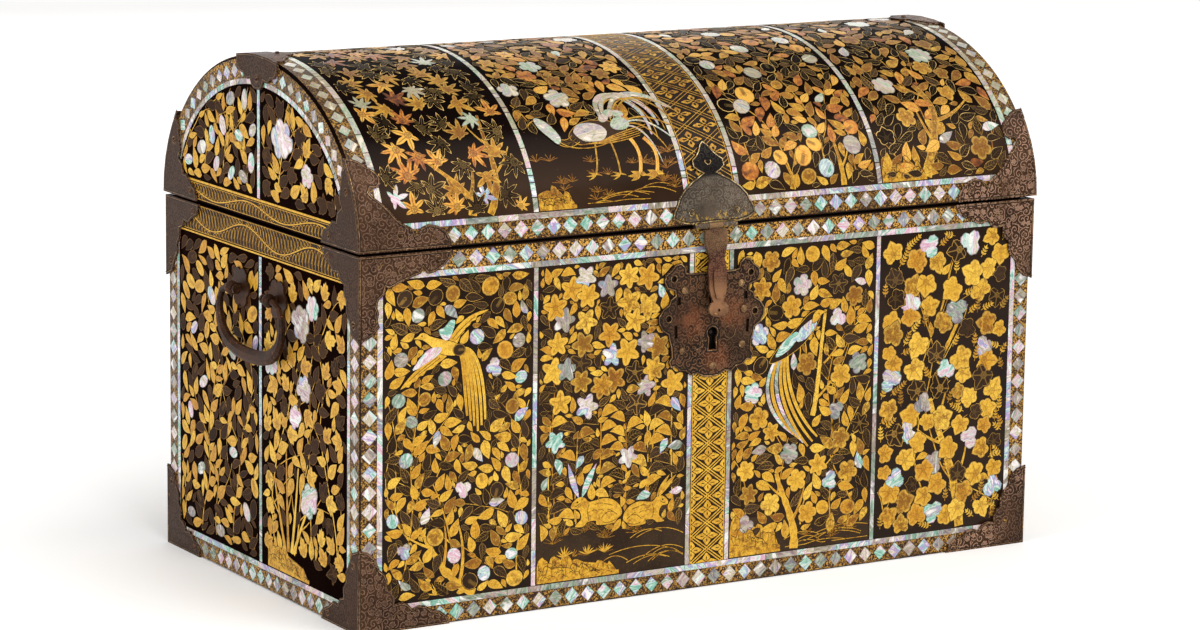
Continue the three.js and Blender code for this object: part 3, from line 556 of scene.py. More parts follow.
def mat_copper(name="engraved_copper", ground=("3b2a20", "5b4434"), high="a77a64", pink=0.55, scale=150, gilt=True, zones=""):
    m = Mat(name)
    line, flower, at = engraved(m, scale)
    cloud = m.noise(30, 5, 0.62, 0.3)
    base = m.mix(m.smooth(cloud, 0.34, 0.70), hexc(ground[0]), hexc(ground[1]))
    px, py, pz = m.xyz(m.obj)[:3]
    if zones == "plate":
        # reddish patches either side of the keyhole: partly worn copper, partly a painted highlight
        for cx, cz, r in ((-0.0145, 0.1665, 0.016), (0.0150, 0.1700, 0.015), (0.004, 0.1435, 0.013)):
            d = m.v("LENGTH", m.node_vec(m.f("SUBTRACT", px, cx), 0.0, m.f("SUBTRACT", pz, cz)))
            near = m.f("MULTIPLY", m.smooth(d, r, r * 0.25), m.smooth(m.noise(120, 5, 0.7, 0.5), 0.36, 0.56))
            base = m.mix(m.f("MULTIPLY", near, 0.30), base, hexc("9a5632"))
    if zones == "hasp":
        # red copper in the middle, a paler turned moulding low down
        mid = m.f("MULTIPLY", m.smooth(pz, 0.212, 0.198), m.smooth(pz, 0.158, 0.166))
        base = m.mix(m.f("MULTIPLY", mid, 0.24), base, hexc("7c4a36"))
        low = m.f("MULTIPLY", m.smooth(pz, 0.196, 0.184), m.smooth(pz, 0.170, 0.176))
        base = m.mix(m.f("MULTIPLY", m.f("MULTIPLY", low, m.smooth(cloud, 0.30, 0.60, 0.55, 1.0)), 0.52), base, hexc("a87c54"))
    if zones == "dome":
        # the finial is black, with fine silver lines
        up = m.smooth(pz, 0.2525, 0.2555)
        base = m.mix(up, base, hexc("080403"))
    grain = m.noise(900, 3, 0.7)
    base = m.mix(m.smooth(grain, 0.5, 0.78, 0, 0.0 if zones == "dome" else 0.28), base, hexc("7a5a3e"))
    dirt = m.noise(95, 6, 0.72, 0.5)
    base = m.mix(m.smooth(dirt, 0.50, 0.66, 0, 0.28 if zones == "dome" else 0.55), base, hexc("1b100a"))
    # painted light: the engraving is drawn brighter on the right-hand half than on the left, the right standing lit and
    # the left shaded
    side = m.smooth(px, -0.12, 0.20, 0.28, 1.0)
    where = m.f("MULTIPLY", m.smooth(m.noise(24, 3, 0.5, at=m.v("ADD", m.obj, (3.1, 1.7, 0.4))), 0.34, 0.58), side)
    if zones == "dome":
        where = m.f("MULTIPLY", m.smooth(m.noise(40, 3, 0.5), 0.40, 0.62), m.f("SUBTRACT", 0.55, m.f("MULTIPLY", up, 0.42)))
    base = m.mix(m.f("MULTIPLY", m.f("MULTIPLY", flower, where), pink), base, hexc(high))
    base = m.mix(m.f("MULTIPLY", m.f("MULTIPLY", line, m.f("ADD", m.f("MULTIPLY", where, 0.75), 0.05 if zones == "dome" else 0.26)), 0.8), base, hexc(high))
    # painted shade: darker on surfaces that face the ends
    side = m.smooth(m.f("ABSOLUTE", m.xyz(m.tc.outputs["Normal"])[0]), 0.5, 0.9, 0, 0.72)
    base = m.mix(side, base, hexc("2f1a0c"))
    if gilt:
        thr = m.f("SUBTRACT", 0.66, m.smooth(pz, 0.238, 0.229, 0, 0.13)) if zones == "dome" else 0.66
        spot = m.smooth(m.noise(160 if zones != "dome" else 420, 5, 0.7, 0.5), thr, m.f("ADD", thr, 0.07))
        base = m.mix(m.f("MULTIPLY", spot, 0.75), base, hexc("c79a3a"))
    # painted highlight on the convex edges and painted shade in the hollows, both read from the mesh's pointiness
    if zones == "hasp":
        geo = m.node("ShaderNodeNewGeometry")
        base = m.mix(m.f("MULTIPLY", m.smooth(geo.outputs["Pointiness"], 0.56, 0.66), 0.45), base, hexc("a5835a"))
        base = m.mix(m.f("MULTIPLY", m.smooth(geo.outputs["Pointiness"], 0.47, 0.40), 0.5), base, hexc("150d09"))
    m.set(base=base, metal=0.30, rough=m.f("ADD", m.f("MULTIPLY", cloud, 0.3), 0.34), spec=0.12)
    h = m.f("SUBTRACT", m.f("MULTIPLY", grain, 0.25), m.f("MULTIPLY", m.f("SUBTRACT", line, m.f("MULTIPLY", flower, 0.5)), 0.9))
    m.bump(h, 0.28, 0.0002)
    return m.m


def mat_coil_ground():
    m = Mat("brown_band")
    fine = m.noise(700, 4, 0.65)
    base = m.mix(m.smooth(m.noise(60, 4, 0.6), 0.36, 0.66), hexc("1d1009"), hexc("33200f"))
    base = m.mix(m.smooth(fine, 0.5, 0.7, 0, 0.35), base, hexc("4d3218"))
    m.set(base=base, rough=0.42, spec=0.06)
    m.bump(fine, 0.2, 0.0001)
    return m.m


def mat_plain_metal(name, lo, hi, spot, rough=0.42, spots=0.62, metal=0.6):
    m = Mat(name)
    cloud = m.noise(60, 6, 0.68, 0.4)
    base = m.mix(m.smooth(cloud, 0.36, 0.66), hexc(lo), hexc(hi))
    grain = m.noise(1100, 4, 0.7)
    base = m.mix(m.smooth(grain, 0.48, 0.8, 0, 0.4), base, hexc(spot))
    gil = m.smooth(m.noise(230, 6, 0.75, 0.6), spots, spots + 0.06)
    base = m.mix(m.f("MULTIPLY", gil, 0.8), base, hexc(spot))
    m.set(base=base, metal=metal, rough=m.f("ADD", m.f("MULTIPLY", cloud, 0.25), rough - 0.1), spec=0.20)
    m.bump(m.f("ADD", grain, m.f("MULTIPLY", cloud, 2.0)), 0.4, 0.0002)
    return m.m


def mat_flat_dark():
    m = Mat("dark_line")
    fine = m.noise(900, 3, 0.6)
    m.set(base=m.mix(m.smooth(fine, 0.4, 0.7), hexc("170d08"), hexc("2c1b12")), rough=0.4, spec=0.12)
    m.bump(fine, 0.2, 0.0001)
    return m.m


M = {
    "gold": mat_gold(), "orange": mat_orange(), "dark": mat_dark_leaf(vein=0.6), "pearl": mat_pearl(),
    "ghost": mat_dark_leaf("outline_leaf", ("211610", "2a1d14", "34261b"), "dcb46a", 1.25, 0.22, 0.018, "0c0503"),
    "brown": mat_dark_leaf("brown_leaf", ("27160c", "342013", "402a18"), "b08040", 0.6, 0.4),
    "nashiji": mat_nashiji(), "line": mat_flat_dark(), "coil": mat_coil_ground(), "haze": mat_haze(),
    # painted reflection: lac_front (front, back, corners, underside) and the lower vault of lac_lid are lighter brown
    # than lac_end; the lacquer is the same near-black, the lighter brown stands for the bright floor's reflection
    "lac_front": mat_lacquer("lacquer_body", hexc("1c110a"), hexc("281a10"), 0.02, 0.08, 0.05),
    "lac_end": mat_lacquer("lacquer_ends", hexc("090100"), hexc("100402"), 0.01, 0.02, 0.0),
    "lac_lid": mat_lacquer("lacquer_lid", hexc("281b12"), hexc("36261b"), 0.02, 0.07, 0.0, (hexc("070201"), hexc("0e0503"))),
    "lac_in": mat_lacquer("lacquer_inside", hexc("120b08"), hexc("1f130e"), 0.05, 0.2),
    "copper": mat_copper("engraved_copper", ("2a180e", "47301f"), "b28c74", 0.55, 200),
    "plate": mat_copper("engraved_lock_plate", ("1e140d", "37271c"), "94694b", 0.5, 200, True, "plate"),
    "hasp": mat_copper("engraved_hasp", ("21150f", "3a281d"), "946550", 0.4, 340, True, "hasp"),
    "dome": mat_copper("hasp_plate_copper", ("3d342b", "584b3e"), "948a7c", 0.4, 230, True, "dome"),
    "handle": mat_plain_metal("handle_copper", "1a0d05", "3a2110", "96552c", 0.48, 0.62, 0.30),
    "darkcu": mat_plain_metal("dark_copper", "2b221c", "453a32", "b3955c", 0.42, 0.66),
    "groove": mat_plain_metal("engraved_groove", "0a0604", "150d08", "3a2718", 0.5, 0.72, 0.3),
    # painted highlight: a lighter metal for the fine lines just inside the fittings' outlines and for the nail heads,
    # in place of the light their edges and domes catch
    "rubbed": mat_plain_metal("rubbed_edge", "4a3423", "8a6a48", "c4a070", 0.40, 0.55),
    # the hasp plate's rim line: partly gilding, partly a painted edge highlight
    "gilt": mat_plain_metal("gilt_edge", "4a351f", "a58550", "dcc490", 0.36, 0.50),
    "iron": mat_plain_metal("lock_iron", "1d1916", "3b342e", "6d6258", 0.5, 0.7),
}


# ------------------------------------------------------------------ face maps (mm, face frame to row frame)
NTAB = 2000
_tt = np.linspace(0, PI, NTAB)
_ss = np.concatenate([[0], np.cumsum(np.hypot(np.diff(-A * np.cos(_tt)), np.diff(B * np.sin(_tt))))])
SLEN = float(_ss[-1])


def f_front(u, v, h):
    return np.stack([u, -HD - h, v], -1)


def f_back(u, v, h):
    return np.stack([-u, HD + h, v], -1)


def f_left(u, v, h):
    return np.stack([-HW - h, -u, v], -1)


def f_right(u, v, h):
    return np.stack([HW + h, u, v], -1)


def f_lid_left(u, v, h):
    return np.stack([-XL - h, -u, v], -1)


def f_lid_right(u, v, h):
    return np.stack([XL + h, u, v], -1)


def f_barrel(u, v, h):
    t = np.interp(v, _ss, _tt)
    nx, nz = -np.cos(t) / A, np.sin(t) / B
    l = np.hypot(nx, nz)
    return np.stack([u, -A * np.cos(t) + h * nx / l, ZL + B * np.sin(t) + h * nz / l], -1)


FACES = {
    "front": (f_front, (-240, 240, 0, 224), "coffer_body"),
    "back": (f_back, (-240, 240, 0, 224), "coffer_body"),
    "left": (f_left, (-128, 128, 0, 224), "coffer_body"),
    "right": (f_right, (-128, 128, 0, 224), "coffer_body"),
    "barrel": (f_barrel, (-241, 241, 0, SLEN), "lid"),
    "lidleft": (f_lid_left, (-129, 129, 226, 325), "lid"),
    "lidright": (f_lid_right, (-129, 129, 226, 325), "lid"),
}


# ------------------------------------------------------------------ decal accumulator
class Acc:
    """Closed thin prisms in one face's (u, v, h), one material."""

    def __init__(self):
        self.uvh, self.e, self.q, self.tint = [], [], [], []
        self.loops, self.totals = [], []
        self.n = 0
        self.count = 0

    def prism(self, top, h1, ring, faces, e, q, tint, h0=-0.12):
        """top (N,2) points, h1 (N,) or float heights, ring the boundary's indices (counter-clockwise),
        faces lists of indices."""
        N = len(top)
        h = np.full(N, h1) if np.isscalar(h1) else np.asarray(h1, float)
        R = len(ring)
        ring = np.asarray(ring)
        pts = np.empty((N + R, 3))
        pts[:N, :2] = top
        pts[:N, 2] = h
        pts[N:, :2] = top[ring]
        pts[N:, 2] = h0
        ee = np.concatenate([e, np.asarray(e)[ring]])
        qq = np.concatenate([q, np.asarray(q)[ring]])
        self.uvh.append(pts)
        self.e.append(ee)
        self.q.append(qq)
        self.tint.append(np.broadcast_to(np.asarray(tint, float), (N + R, 3)))
        o = self.n
        for f in faces:
            self.loops.extend([o + i for i in f])
            self.totals.append(len(f))
        for k in range(R):
            a, b = int(ring[k]), int(ring[(k + 1) % R])
            self.loops.extend((o + a, o + N + k, o + N + (k + 1) % R, o + b))
            self.totals.append(4)
        self.loops.extend([o + N + k for k in range(R - 1, -1, -1)])
        self.totals.append(R)
        self.n += N + R
        self.count += 1


def build(name, acc, face, mat, slot, smooth=False):
    if not acc.n:
        return None
    fn, (u0, u1, v0, v1), body = FACES[face]
    uvh = np.concatenate(acc.uvh)
    P = fn(uvh[:, 0], uvh[:, 1], uvh[:, 2]) / 1000.0
    me = bpy.data.meshes.new(name)
    loops = np.asarray(acc.loops, np.int32)
    totals = np.asarray(acc.totals, np.int32)
    me.vertices.add(len(P))
    me.vertices.foreach_set("co", P.astype(np.float32).ravel())
    me.loops.add(len(loops))
    me.loops.foreach_set("vertex_index", loops)
    me.polygons.add(len(totals))
    starts = np.concatenate([[0], np.cumsum(totals)[:-1]]).astype(np.int32)
    me.polygons.foreach_set("loop_start", starts)
    me.update(calc_edges=True)
    me.validate(verbose=False)
    for nm, kind, data in (("e", "FLOAT", np.concatenate(acc.e)), ("q", "FLOAT_VECTOR", np.concatenate(acc.q)),
                           ("tint", "FLOAT_VECTOR", np.concatenate(acc.tint))):
        at = me.attributes.new(nm, kind, "POINT")
        at.data.foreach_set("value" if kind == "FLOAT" else "vector", np.asarray(data, np.float32).ravel())
    uv = me.uv_layers.new(name="OFBake")
    luv = np.empty((len(loops), 2), np.float32)
    luv[:, 0] = (uvh[loops, 0] - u0) / (u1 - u0) * 0.98 + 0.01
    luv[:, 1] = (uvh[loops, 1] - v0) / (v1 - v0) * 0.98 + 0.01
    if len(me.loops) == len(loops):
        uv.data.foreach_set("uv", luv.ravel())
    fl = me.uv_layers.new(name="flat")
    if len(me.loops) == len(loops):
        fl.data.foreach_set("uv", uvh[loops, :2].astype(np.float32).ravel())
    me.uv_layers.active = me.uv_layers["OFBake"]
    if smooth:
        me.shade_smooth()
    else:
        me.shade_flat()
    me.materials.append(mat)
    ob = bpy.data.objects.new(name, me)
    scene.collection.objects.link(ob)
    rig.ride(ob, body)
    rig.slot(ob, slot)
    return ob


# ------------------------------------------------------------------ motif shapes, in a local frame
def leaf_shape(L, Wd, curl=0.0, K=7, fat=0.75):
    """Pointed leaf from (0,0) to (L,0). Returns pts, ring, faces, e, q, dome."""
    s = np.linspace(0, 1, K)
    w = Wd / 2 * np.sin(PI * s ** fat) * (1 - 0.12 * s)
    y = curl * L * 4 * s * (1 - s) * 0.25
    x = s * L
    n = K - 2
    base, tip = [x[0], y[0]], [x[-1], y[-1]]
    left = np.stack([x[1:-1], y[1:-1] + w[1:-1]], -1)
    mid = np.stack([x[1:-1], y[1:-1]], -1)
    right = np.stack([x[1:-1], y[1:-1] - w[1:-1]], -1)
    pts = np.concatenate([[base], left, mid, right, [tip]])
    iL, iM, iR, iT = 1, 1 + n, 1 + 2 * n, 1 + 3 * n
    faces = [(0, iM, iL), (0, iR, iM)]
    for k in range(n - 1):
        faces.append((iL + k, iM + k, iM + k + 1, iL + k + 1))
        faces.append((iM + k, iR + k, iR + k + 1, iM + k + 1))
    faces += [(iL + n - 1, iM + n - 1, iT), (iM + n - 1, iR + n - 1, iT)]
    ring = [0] + list(range(iR, iR + n)) + [iT] + list(range(iL + n - 1, iL - 1, -1))
    e = np.concatenate([[1.0], np.ones(n), np.zeros(n), np.ones(n), [1.0]])
    q = np.zeros((len(pts), 3))
    q[1:1 + n, 0] = q[iM:iM + n, 0] = q[iR:iR + n, 0] = s[1:-1]
    q[iT, 0] = 1
    q[1:1 + n, 1] = 1
    q[iR:iR + n, 1] = -1
    dome = np.zeros(len(pts))
    dome[iM:iM + n] = 0.05
    return pts, ring, faces, e, q, dome


def fan_shape(radius, n_lobes, N, qn=None, R=None):
    """Star-shaped outline r(theta) around the centre."""
    th = np.arange(N) * 2 * PI / N
    r = radius(th)
    R = R or r.max()
    ring_pts = np.stack([r * np.cos(th), r * np.sin(th)], -1)
    mid_pts = ring_pts * 0.55
    pts = np.concatenate([[[0, 0]], mid_pts, ring_pts])
    faces = []
    for k in range(N):
        k2 = (k + 1) % N
        faces.append((0, 1 + k, 1 + k2))
        faces.append((1 + k, 1 + N + k, 1 + N + k2, 1 + k2))
    ring = list(range(1 + N, 1 + 2 * N))
    e = np.concatenate([[0.0], np.full(N, 0.55), np.ones(N)])
    q = np.concatenate([pts / R, np.full((len(pts), 1), float(n_lobes if qn is None else qn))], 1)
    dome = np.concatenate([[0.05], np.full(N, 0.04), np.zeros(N)])
    return pts, ring, faces, e, q, dome


def oval(a, b, N=12):
    th = np.arange(N) * 2 * PI / N
    pts = np.concatenate([[[0, 0]], np.stack([a * np.cos(th), b * np.sin(th)], -1)])
    faces = [(0, 1 + k, 1 + (k + 1) % N) for k in range(N)]
    ring = list(range(1, 1 + N))
    e = np.concatenate([[0.0], np.ones(N)])
    q = np.concatenate([pts / max(a, b), np.full((N + 1, 1), 1.0)], 1)
    return pts, ring, faces, e, q, np.concatenate([[0.07], np.zeros(N)])


def star(R, n, cut=0.44):
    """Bellflower: broad petals that bulge and end in a point."""
    def rad(t):
        x = np.abs(np.sin(n * t / 2))
        return R * (1 - 0.13 * x - (cut - 0.13) * x ** 4)
    return fan_shape(rad, n, 6 * n)


def blossom(R, n, cut=0.30):
    return fan_shape(lambda t: R * (1 - cut + cut * np.abs(np.cos(n * t / 2)) ** 0.55), n, 6 * n)


def lobes(R, spec, base, N, n_code):
    """Outline made of pointed lobes: spec is (direction, length, half-width in radians)."""
    def rad(t):
        a = (t + PI) % (2 * PI) - PI
        r = np.full_like(a, base)
        for c, l, w in spec:
            d = np.abs((a - c + PI) % (2 * PI) - PI) / w
            r = np.maximum(r, np.where(d < 1, base + (l - base) * np.clip(1 - d, 0, None) ** 0.85, 0))
        return R * r
    return fan_shape(rad, n_code, N)


def maple(R, rng=None, n=7):
    """Maple leaf: a fan of broad pointed lobes, the front one longest, stalk at -x."""
    k = np.ones(7) if rng is None else rng.uniform(0.9, 1.1, 7)
    if n == 5:
        spec = [(0, 1.0 * k[0], 0.46), (0.98, 0.92 * k[1], 0.44), (-0.98, 0.92 * k[2], 0.44), (1.98, 0.66 * k[3], 0.42), (-1.98, 0.66 * k[4], 0.42)]
    else:
        spec = [(0, 1.0 * k[0], 0.36), (0.72, 0.94 * k[1], 0.35), (-0.72, 0.94 * k[2], 0.35), (1.45, 0.80 * k[3], 0.34), (-1.45, 0.80 * k[4], 0.34),
                (2.2, 0.52 * k[5], 0.32), (-2.2, 0.52 * k[6], 0.32)]
    return lobes(R, spec, 0.27, 44, 8.6 if n == 7 else 6.4)


def lobed_leaf(R, rng):
    """Peony-like leaf: three long lobes, the middle one notched, stalk at -x."""
    k = rng.uniform(0.88, 1.12, 5)
    spec = [(0, 1.0 * k[0], 0.50), (0.36, 0.78 * k[1], 0.30), (-0.40, 0.80 * k[2], 0.30), (0.98, 0.74 * k[3], 0.44), (-1.02, 0.74 * k[4], 0.44), (1.5, 0.52, 0.5), (-1.5, 0.52, 0.5)]
    return lobes(R, spec, 0.36, 36, 6)


def cloud(R, rng, n=7):
    """Peony of shell: a rounded mass of scalloped petals."""
    ph = rng.uniform(0, 6.28)
    n = int(n)
    k = rng.uniform(0.82, 1.1, n + 1)

    def rad(t):
        a = t % (2 * PI)
        i = np.minimum((a * n / (2 * PI)).astype(int), n - 1)
        return R * (0.80 + 0.20 * np.abs(np.sin(n * a / 2)) ** 0.7) * k[i] * (1 - 0.10 * np.sin(t + ph))
    return fan_shape(rad, 0, 5 * n, -1)


def ivy(R, rng, n=5):
    """Broad leaf with five rounded, finely scalloped lobes and a notch at the stalk (-x)."""
    k = rng.uniform(0.88, 1.08, 5)
    spec = [(0.0, 1.0 * k[0]), (1.02, 0.90 * k[1]), (-1.02, 0.90 * k[2]), (2.05, 0.74 * k[3]), (-2.05, 0.74 * k[4])]

    def rad(t):
        a = (t + PI) % (2 * PI) - PI
        r = np.full_like(a, 0.48)
        for c, l in spec:
            d = np.abs((a - c + PI) % (2 * PI) - PI) / 0.66
            k1 = np.clip(1 - d, 0, 1)
            r = np.maximum(r, 0.48 + (l - 0.48) * (0.80 * np.sqrt(np.clip(1 - d * d, 0, 1)) + 0.20 * k1 ** 0.8))
        r = r + 0.03 * np.abs(np.cos(9.0 * a)) + 0.12 * np.exp(-(a / 0.16) ** 2)
        r = r * (1 - 0.30 * np.exp(-((np.abs(a) - PI) / 0.22) ** 2))
        return R * r
    return fan_shape(rad, 6, 44)


def trefoil_shell(R, rng):
    """Shell piece of two or three uneven rounded lobes with a nibbled edge."""
    c = rng.uniform(-0.3, 0.3)
    l = rng.uniform(0.78, 1.05, 3)
    ph = rng.uniform(0, 6.28)

    def rad(t):
        a = (t + PI) % (2 * PI) - PI
        r = np.full_like(a, 0.50)
        for d, q in ((c, l[0]), (c + 2.0, l[1]), (c - 2.1, l[2])):
            x = np.abs((a - d + PI) % (2 * PI) - PI)
            r = np.maximum(r, q * np.cos(np.minimum(x / 1.25, 1.0) * PI / 2) ** 0.45)
        return R * (r + 0.035 * np.sin(13 * a + ph))
    return fan_shape(rad, 0, 34, -1)


def place(shape, p, ang, sx=1.0):
    c, s = math.cos(ang), math.sin(ang)
    pts = shape[0] * (1, sx)
    xy = np.stack([p[0] + pts[:, 0] * c - pts[:, 1] * s, p[1] + pts[:, 0] * s + pts[:, 1] * c], -1)
    return xy


def ribbon_pts(line, widths):
    line = np.asarray(line, float)
    d = np.gradient(line, axis=0)
    d /= np.maximum(np.hypot(d[:, 0], d[:, 1])[:, None], 1e-9)
    nrm = np.stack([-d[:, 1], d[:, 0]], -1)
    w = np.asarray(widths, float)
    w = np.full(len(line), w) if w.ndim == 0 else w
    return line + nrm * w[:, None] / 2, line - nrm * w[:, None] / 2


def add_ribbon(acc, line, width, h=0.14, tint=(0.5, 0.3, 0.5), qn=-1.0, step=7.0, spine=False):
    """A closed strip along a polyline, laid in one piece; step is not used."""
    line = np.asarray(line, float)
    L, Rr = ribbon_pts(line, width)
    n = len(line)
    e = np.ones(n)
    s = np.linspace(0, 1, n)
    if spine:
        pts = np.concatenate([L, line, Rr])
        faces = []
        for k in range(n - 1):
            faces.append((k, n + k, n + k + 1, k + 1))
            faces.append((n + k, 2 * n + k, 2 * n + k + 1, n + k + 1))
        ring = list(range(2 * n, 3 * n)) + [2 * n - 1] + list(range(n - 1, -1, -1)) + [n]
        ee = np.concatenate([np.ones(n), np.zeros(n), np.ones(n)])
        q = np.concatenate([np.stack([s, np.ones(n), np.full(n, qn)], -1), np.stack([s, np.zeros(n), np.full(n, qn)], -1),
                            np.stack([s, -np.ones(n), np.full(n, qn)], -1)])
        hh = np.concatenate([np.full(n, h), np.full(n, h + 0.06), np.full(n, h)])
        acc.prism(pts, hh, ring, faces, ee, q, tint)
        return
    pts = np.concatenate([L, Rr])
    faces = [(k, n + k, n + k + 1, k + 1) for k in range(n - 1)]
    ring = list(range(n, 2 * n)) + list(range(n - 1, -1, -1))
    q = np.concatenate([np.stack([s, np.ones(n), np.full(n, qn)], -1), np.stack([s, -np.ones(n), np.full(n, qn)], -1)])
    acc.prism(pts, h, ring, faces, np.concatenate([e, e]) * 0.5, q, tint)


def add_shape(acc, shape, p, ang, h, tint, sx=1.0):
    xy = place(shape, p, ang, sx)
    acc.prism(xy, h + shape[5], shape[1], shape[2], shape[3], shape[4], tint)


# ------------------------------------------------------------------ packing grid
class Grid:
    def __init__(self, u0, u1, v0, v1, res=0.6, allowed=None):
        self.u0, self.v0, self.res = u0, v0, res
        self.nu, self.nv = int((u1 - u0) / res) + 1, int((v1 - v0) / res) + 1
        self.g = np.zeros((self.nu, self.nv), np.int8)
        if allowed is not None:
            uu = u0 + (np.arange(self.nu) + 0.5) * res
            vv = v0 + (np.arange(self.nv) + 0.5) * res
            U, V = np.meshgrid(uu, vv, indexing="ij")
            self.g[~allowed(U, V)] = 127
        self.box = (u0, u1, v0, v1)

    def window(self, poly):
        lo, hi = poly.min(0), poly.max(0)
        a0, a1 = int((lo[0] - self.u0) / self.res) - 1, int((hi[0] - self.u0) / self.res) + 2
        b0, b1 = int((lo[1] - self.v0) / self.res) - 1, int((hi[1] - self.v0) / self.res) + 2
        if a0 < 0 or b0 < 0 or a1 > self.nu or b1 > self.nv:
            return None
        xs = self.u0 + (np.arange(a0, a1) + 0.5) * self.res
        ys = self.v0 + (np.arange(b0, b1) + 0.5) * self.res
        # even-odd test
        x0, y0 = poly[:, 0], poly[:, 1]
        x1, y1 = np.roll(x0, -1), np.roll(y0, -1)
        cond = (y0[None, :] > ys[:, None]) != (y1[None, :] > ys[:, None])            # (ny, E)
        with np.errstate(divide="ignore", invalid="ignore"):
            xi = x0[None] + (ys[:, None] - y0[None]) / (y1 - y0)[None] * (x1 - x0)[None]
        xi = np.where(cond, xi, np.inf)
        inside = (np.sum(xs[:, None, None] < np.where(cond, xi, -np.inf)[None], axis=2) % 2) == 1
        return (slice(a0, a1), slice(b0, b1)), inside

    def fit(self, poly, overlap=0.0, top=5):
        """Layer for this outline, or None where it doesn't fit."""
        w = self.window(poly)
        if w is None:
            return None
        sl, ins = w
        cells = self.g[sl][ins]
        if not len(cells):
            return None
        mx = int(cells.max())
        if mx == 127:
            return None
        if mx and (cells > 0).mean() > overlap:
            return None
        if mx + 1 > top:
            return None
        self._last = (sl, ins, mx + 1)
        return mx + 1

    def mark(self):
        sl, ins, k = self._last
        g = self.g[sl]
        g[ins] = np.maximum(g[ins], k)
        self.g[sl] = g

    def block(self, poly, k=1):
        w = self.window(np.asarray(poly, float))
        if w is None:
            return
        sl, ins = w
        g = self.g[sl]
        g[ins] = np.maximum(g[ins], k)
        self.g[sl] = g


def layer_h(k):
    return 0.10 + 0.055 * (k - 1)


class Painter:
    """Accumulators of one face."""

    def __init__(self, face):
        self.face = face
        self.acc = {}

    def a(self, mat):
        if mat not in self.acc:
            self.acc[mat] = Acc()
        return self.acc[mat]

    def finish(self):
        n = 0
        for mat, acc in self.acc.items():
            ob = build(f"{self.face}_{mat}", acc, self.face, M[mat], "lacquered_wood")
            n += len(acc.totals)
        return n


def pick(rng, weights):
    names = list(weights)
    w = np.array([weights[k] for k in names], float)
    return names[int(rng.choice(len(names), p=w / w.sum()))]


def tint_of(rng, mat, gold_low=0.0, wear=None):
    if mat == "pearl":
        return (rng.random(), rng.random(), rng.random())
    return (gold_low + (1 - gold_low) * rng.random(), rng.random() ** 1.5 if wear is None else rng.random() * wear, rng.random())


def outline(shape, p, ang, grow=1.0):
    ring = shape[0][shape[1]]
    c0 = ring.mean(0)
    ring = c0 + (ring - c0) * grow
    c, s = math.cos(ang), math.sin(ang)
    return np.stack([p[0] + ring[:, 0] * c - ring[:, 1] * s, p[1] + ring[:, 0] * s + ring[:, 1] * c], -1)


def make_shape(kind, size, rng):
    if kind == "leaf":
        return leaf_shape(size, size * rng.uniform(0.46, 0.60), rng.uniform(-0.4, 0.4))
    if kind == "slim":
        return leaf_shape(size, size * rng.uniform(0.34, 0.44), rng.uniform(-0.4, 0.4))
    if kind == "fruit":
        return oval(size * 0.5, size * rng.uniform(0.42, 0.48))
    if kind == "oval":
        return oval(size * 0.55, size * rng.uniform(0.30, 0.38))
    if kind == "star5":
        return star(size * 0.56, 5)
    if kind == "star6":
        return star(size * 0.55, 6, 0.38)
    if kind == "blossom":
        return blossom(size * 0.54, 5)
    if kind == "blossom6":
        return blossom(size * 0.54, 6, 0.26)
    if kind == "maple":
        return maple(size * 0.60, rng, 7 if rng.random() < 0.6 else 5)
    if kind == "lobed":
        return lobed_leaf(size * 0.60, rng)
    if kind == "ivy":
        return ivy(size * 0.54, rng)
    if kind == "cloud":
        return cloud(size * 0.54, rng, int(rng.integers(6, 9)))
    if kind == "shell":
        return trefoil_shell(size * 0.56, rng)
    if kind == "half":
        # half-round leaf seen folded, flat side down
        return leaf_shape(size, size * 0.56, 0.8, 7, 0.9)
    raise ValueError(kind)
LONG = ("leaf", "slim", "half")


def put(P, grid, kind, p, ang, sz, rng, overlap, mat, top=5, lift=0.0, wear=None, tint=None, shape=None):
    """One motif where it fits: its layer goes over what it overlaps."""
    if kind == "half" and shape is None:
        shape = leaf_shape(sz, sz * 0.56, 1.0 if math.cos(ang) > 0 else -1.0, 7, 0.9)
    sh = shape or make_shape(kind, sz, rng)
    k = grid.fit(outline(sh, p, ang, 1.06), overlap, top)
    if k is None:
        return False
    add_shape(P.a(mat), sh, p, ang, layer_h(k) + lift, tint or tint_of(rng, mat, 0.0, wear))
    grid.mark()
    return True


def centred(kind, p, ang, sz):
    """Start point of a long motif whose middle is at p."""
    if kind in LONG:
        return (p[0] - math.cos(ang) * sz / 2, p[1] - math.sin(ang) * sz / 2)
    return p


def spread_shell(P, grid, rng, spec, box, ground=0.0, mats=None, wear=None, over=0.10):
    """Pieces placed first, well apart from each other. spec: (kind, how many, least size, greatest)."""
    u0, u1, v0, v1 = box
    placed = []
    want = [(k, a, b) for k, n, a, b in spec for _ in range(n)]
    rng.shuffle(want)
    area_ = (u1 - u0) * (v1 - v0 - ground)
    gap = 0.78 * math.sqrt(area_ / max(1, len(want)))
    for kind, lo, hi in want:
        lo, hi = float(lo), float(hi)
        for t in range(60):
            p = (rng.uniform(u0 + 4, u1 - 4), rng.uniform(v0 + ground + 4, v1 - 4))
            if any(math.hypot(p[0] - a, p[1] - b) < gap * (1 - t / 110) for a, b in placed):
                continue
            ang = rng.uniform(0, 2 * PI)
            sz = rng.uniform(lo, hi)
            mat = pick(rng, mats) if mats else "pearl"
            if put(P, grid, kind, centred(kind, p, ang, sz), ang, sz, rng, over, mat, lift=0.0 if mats else 0.08, wear=wear):
                placed.append(p)
                break


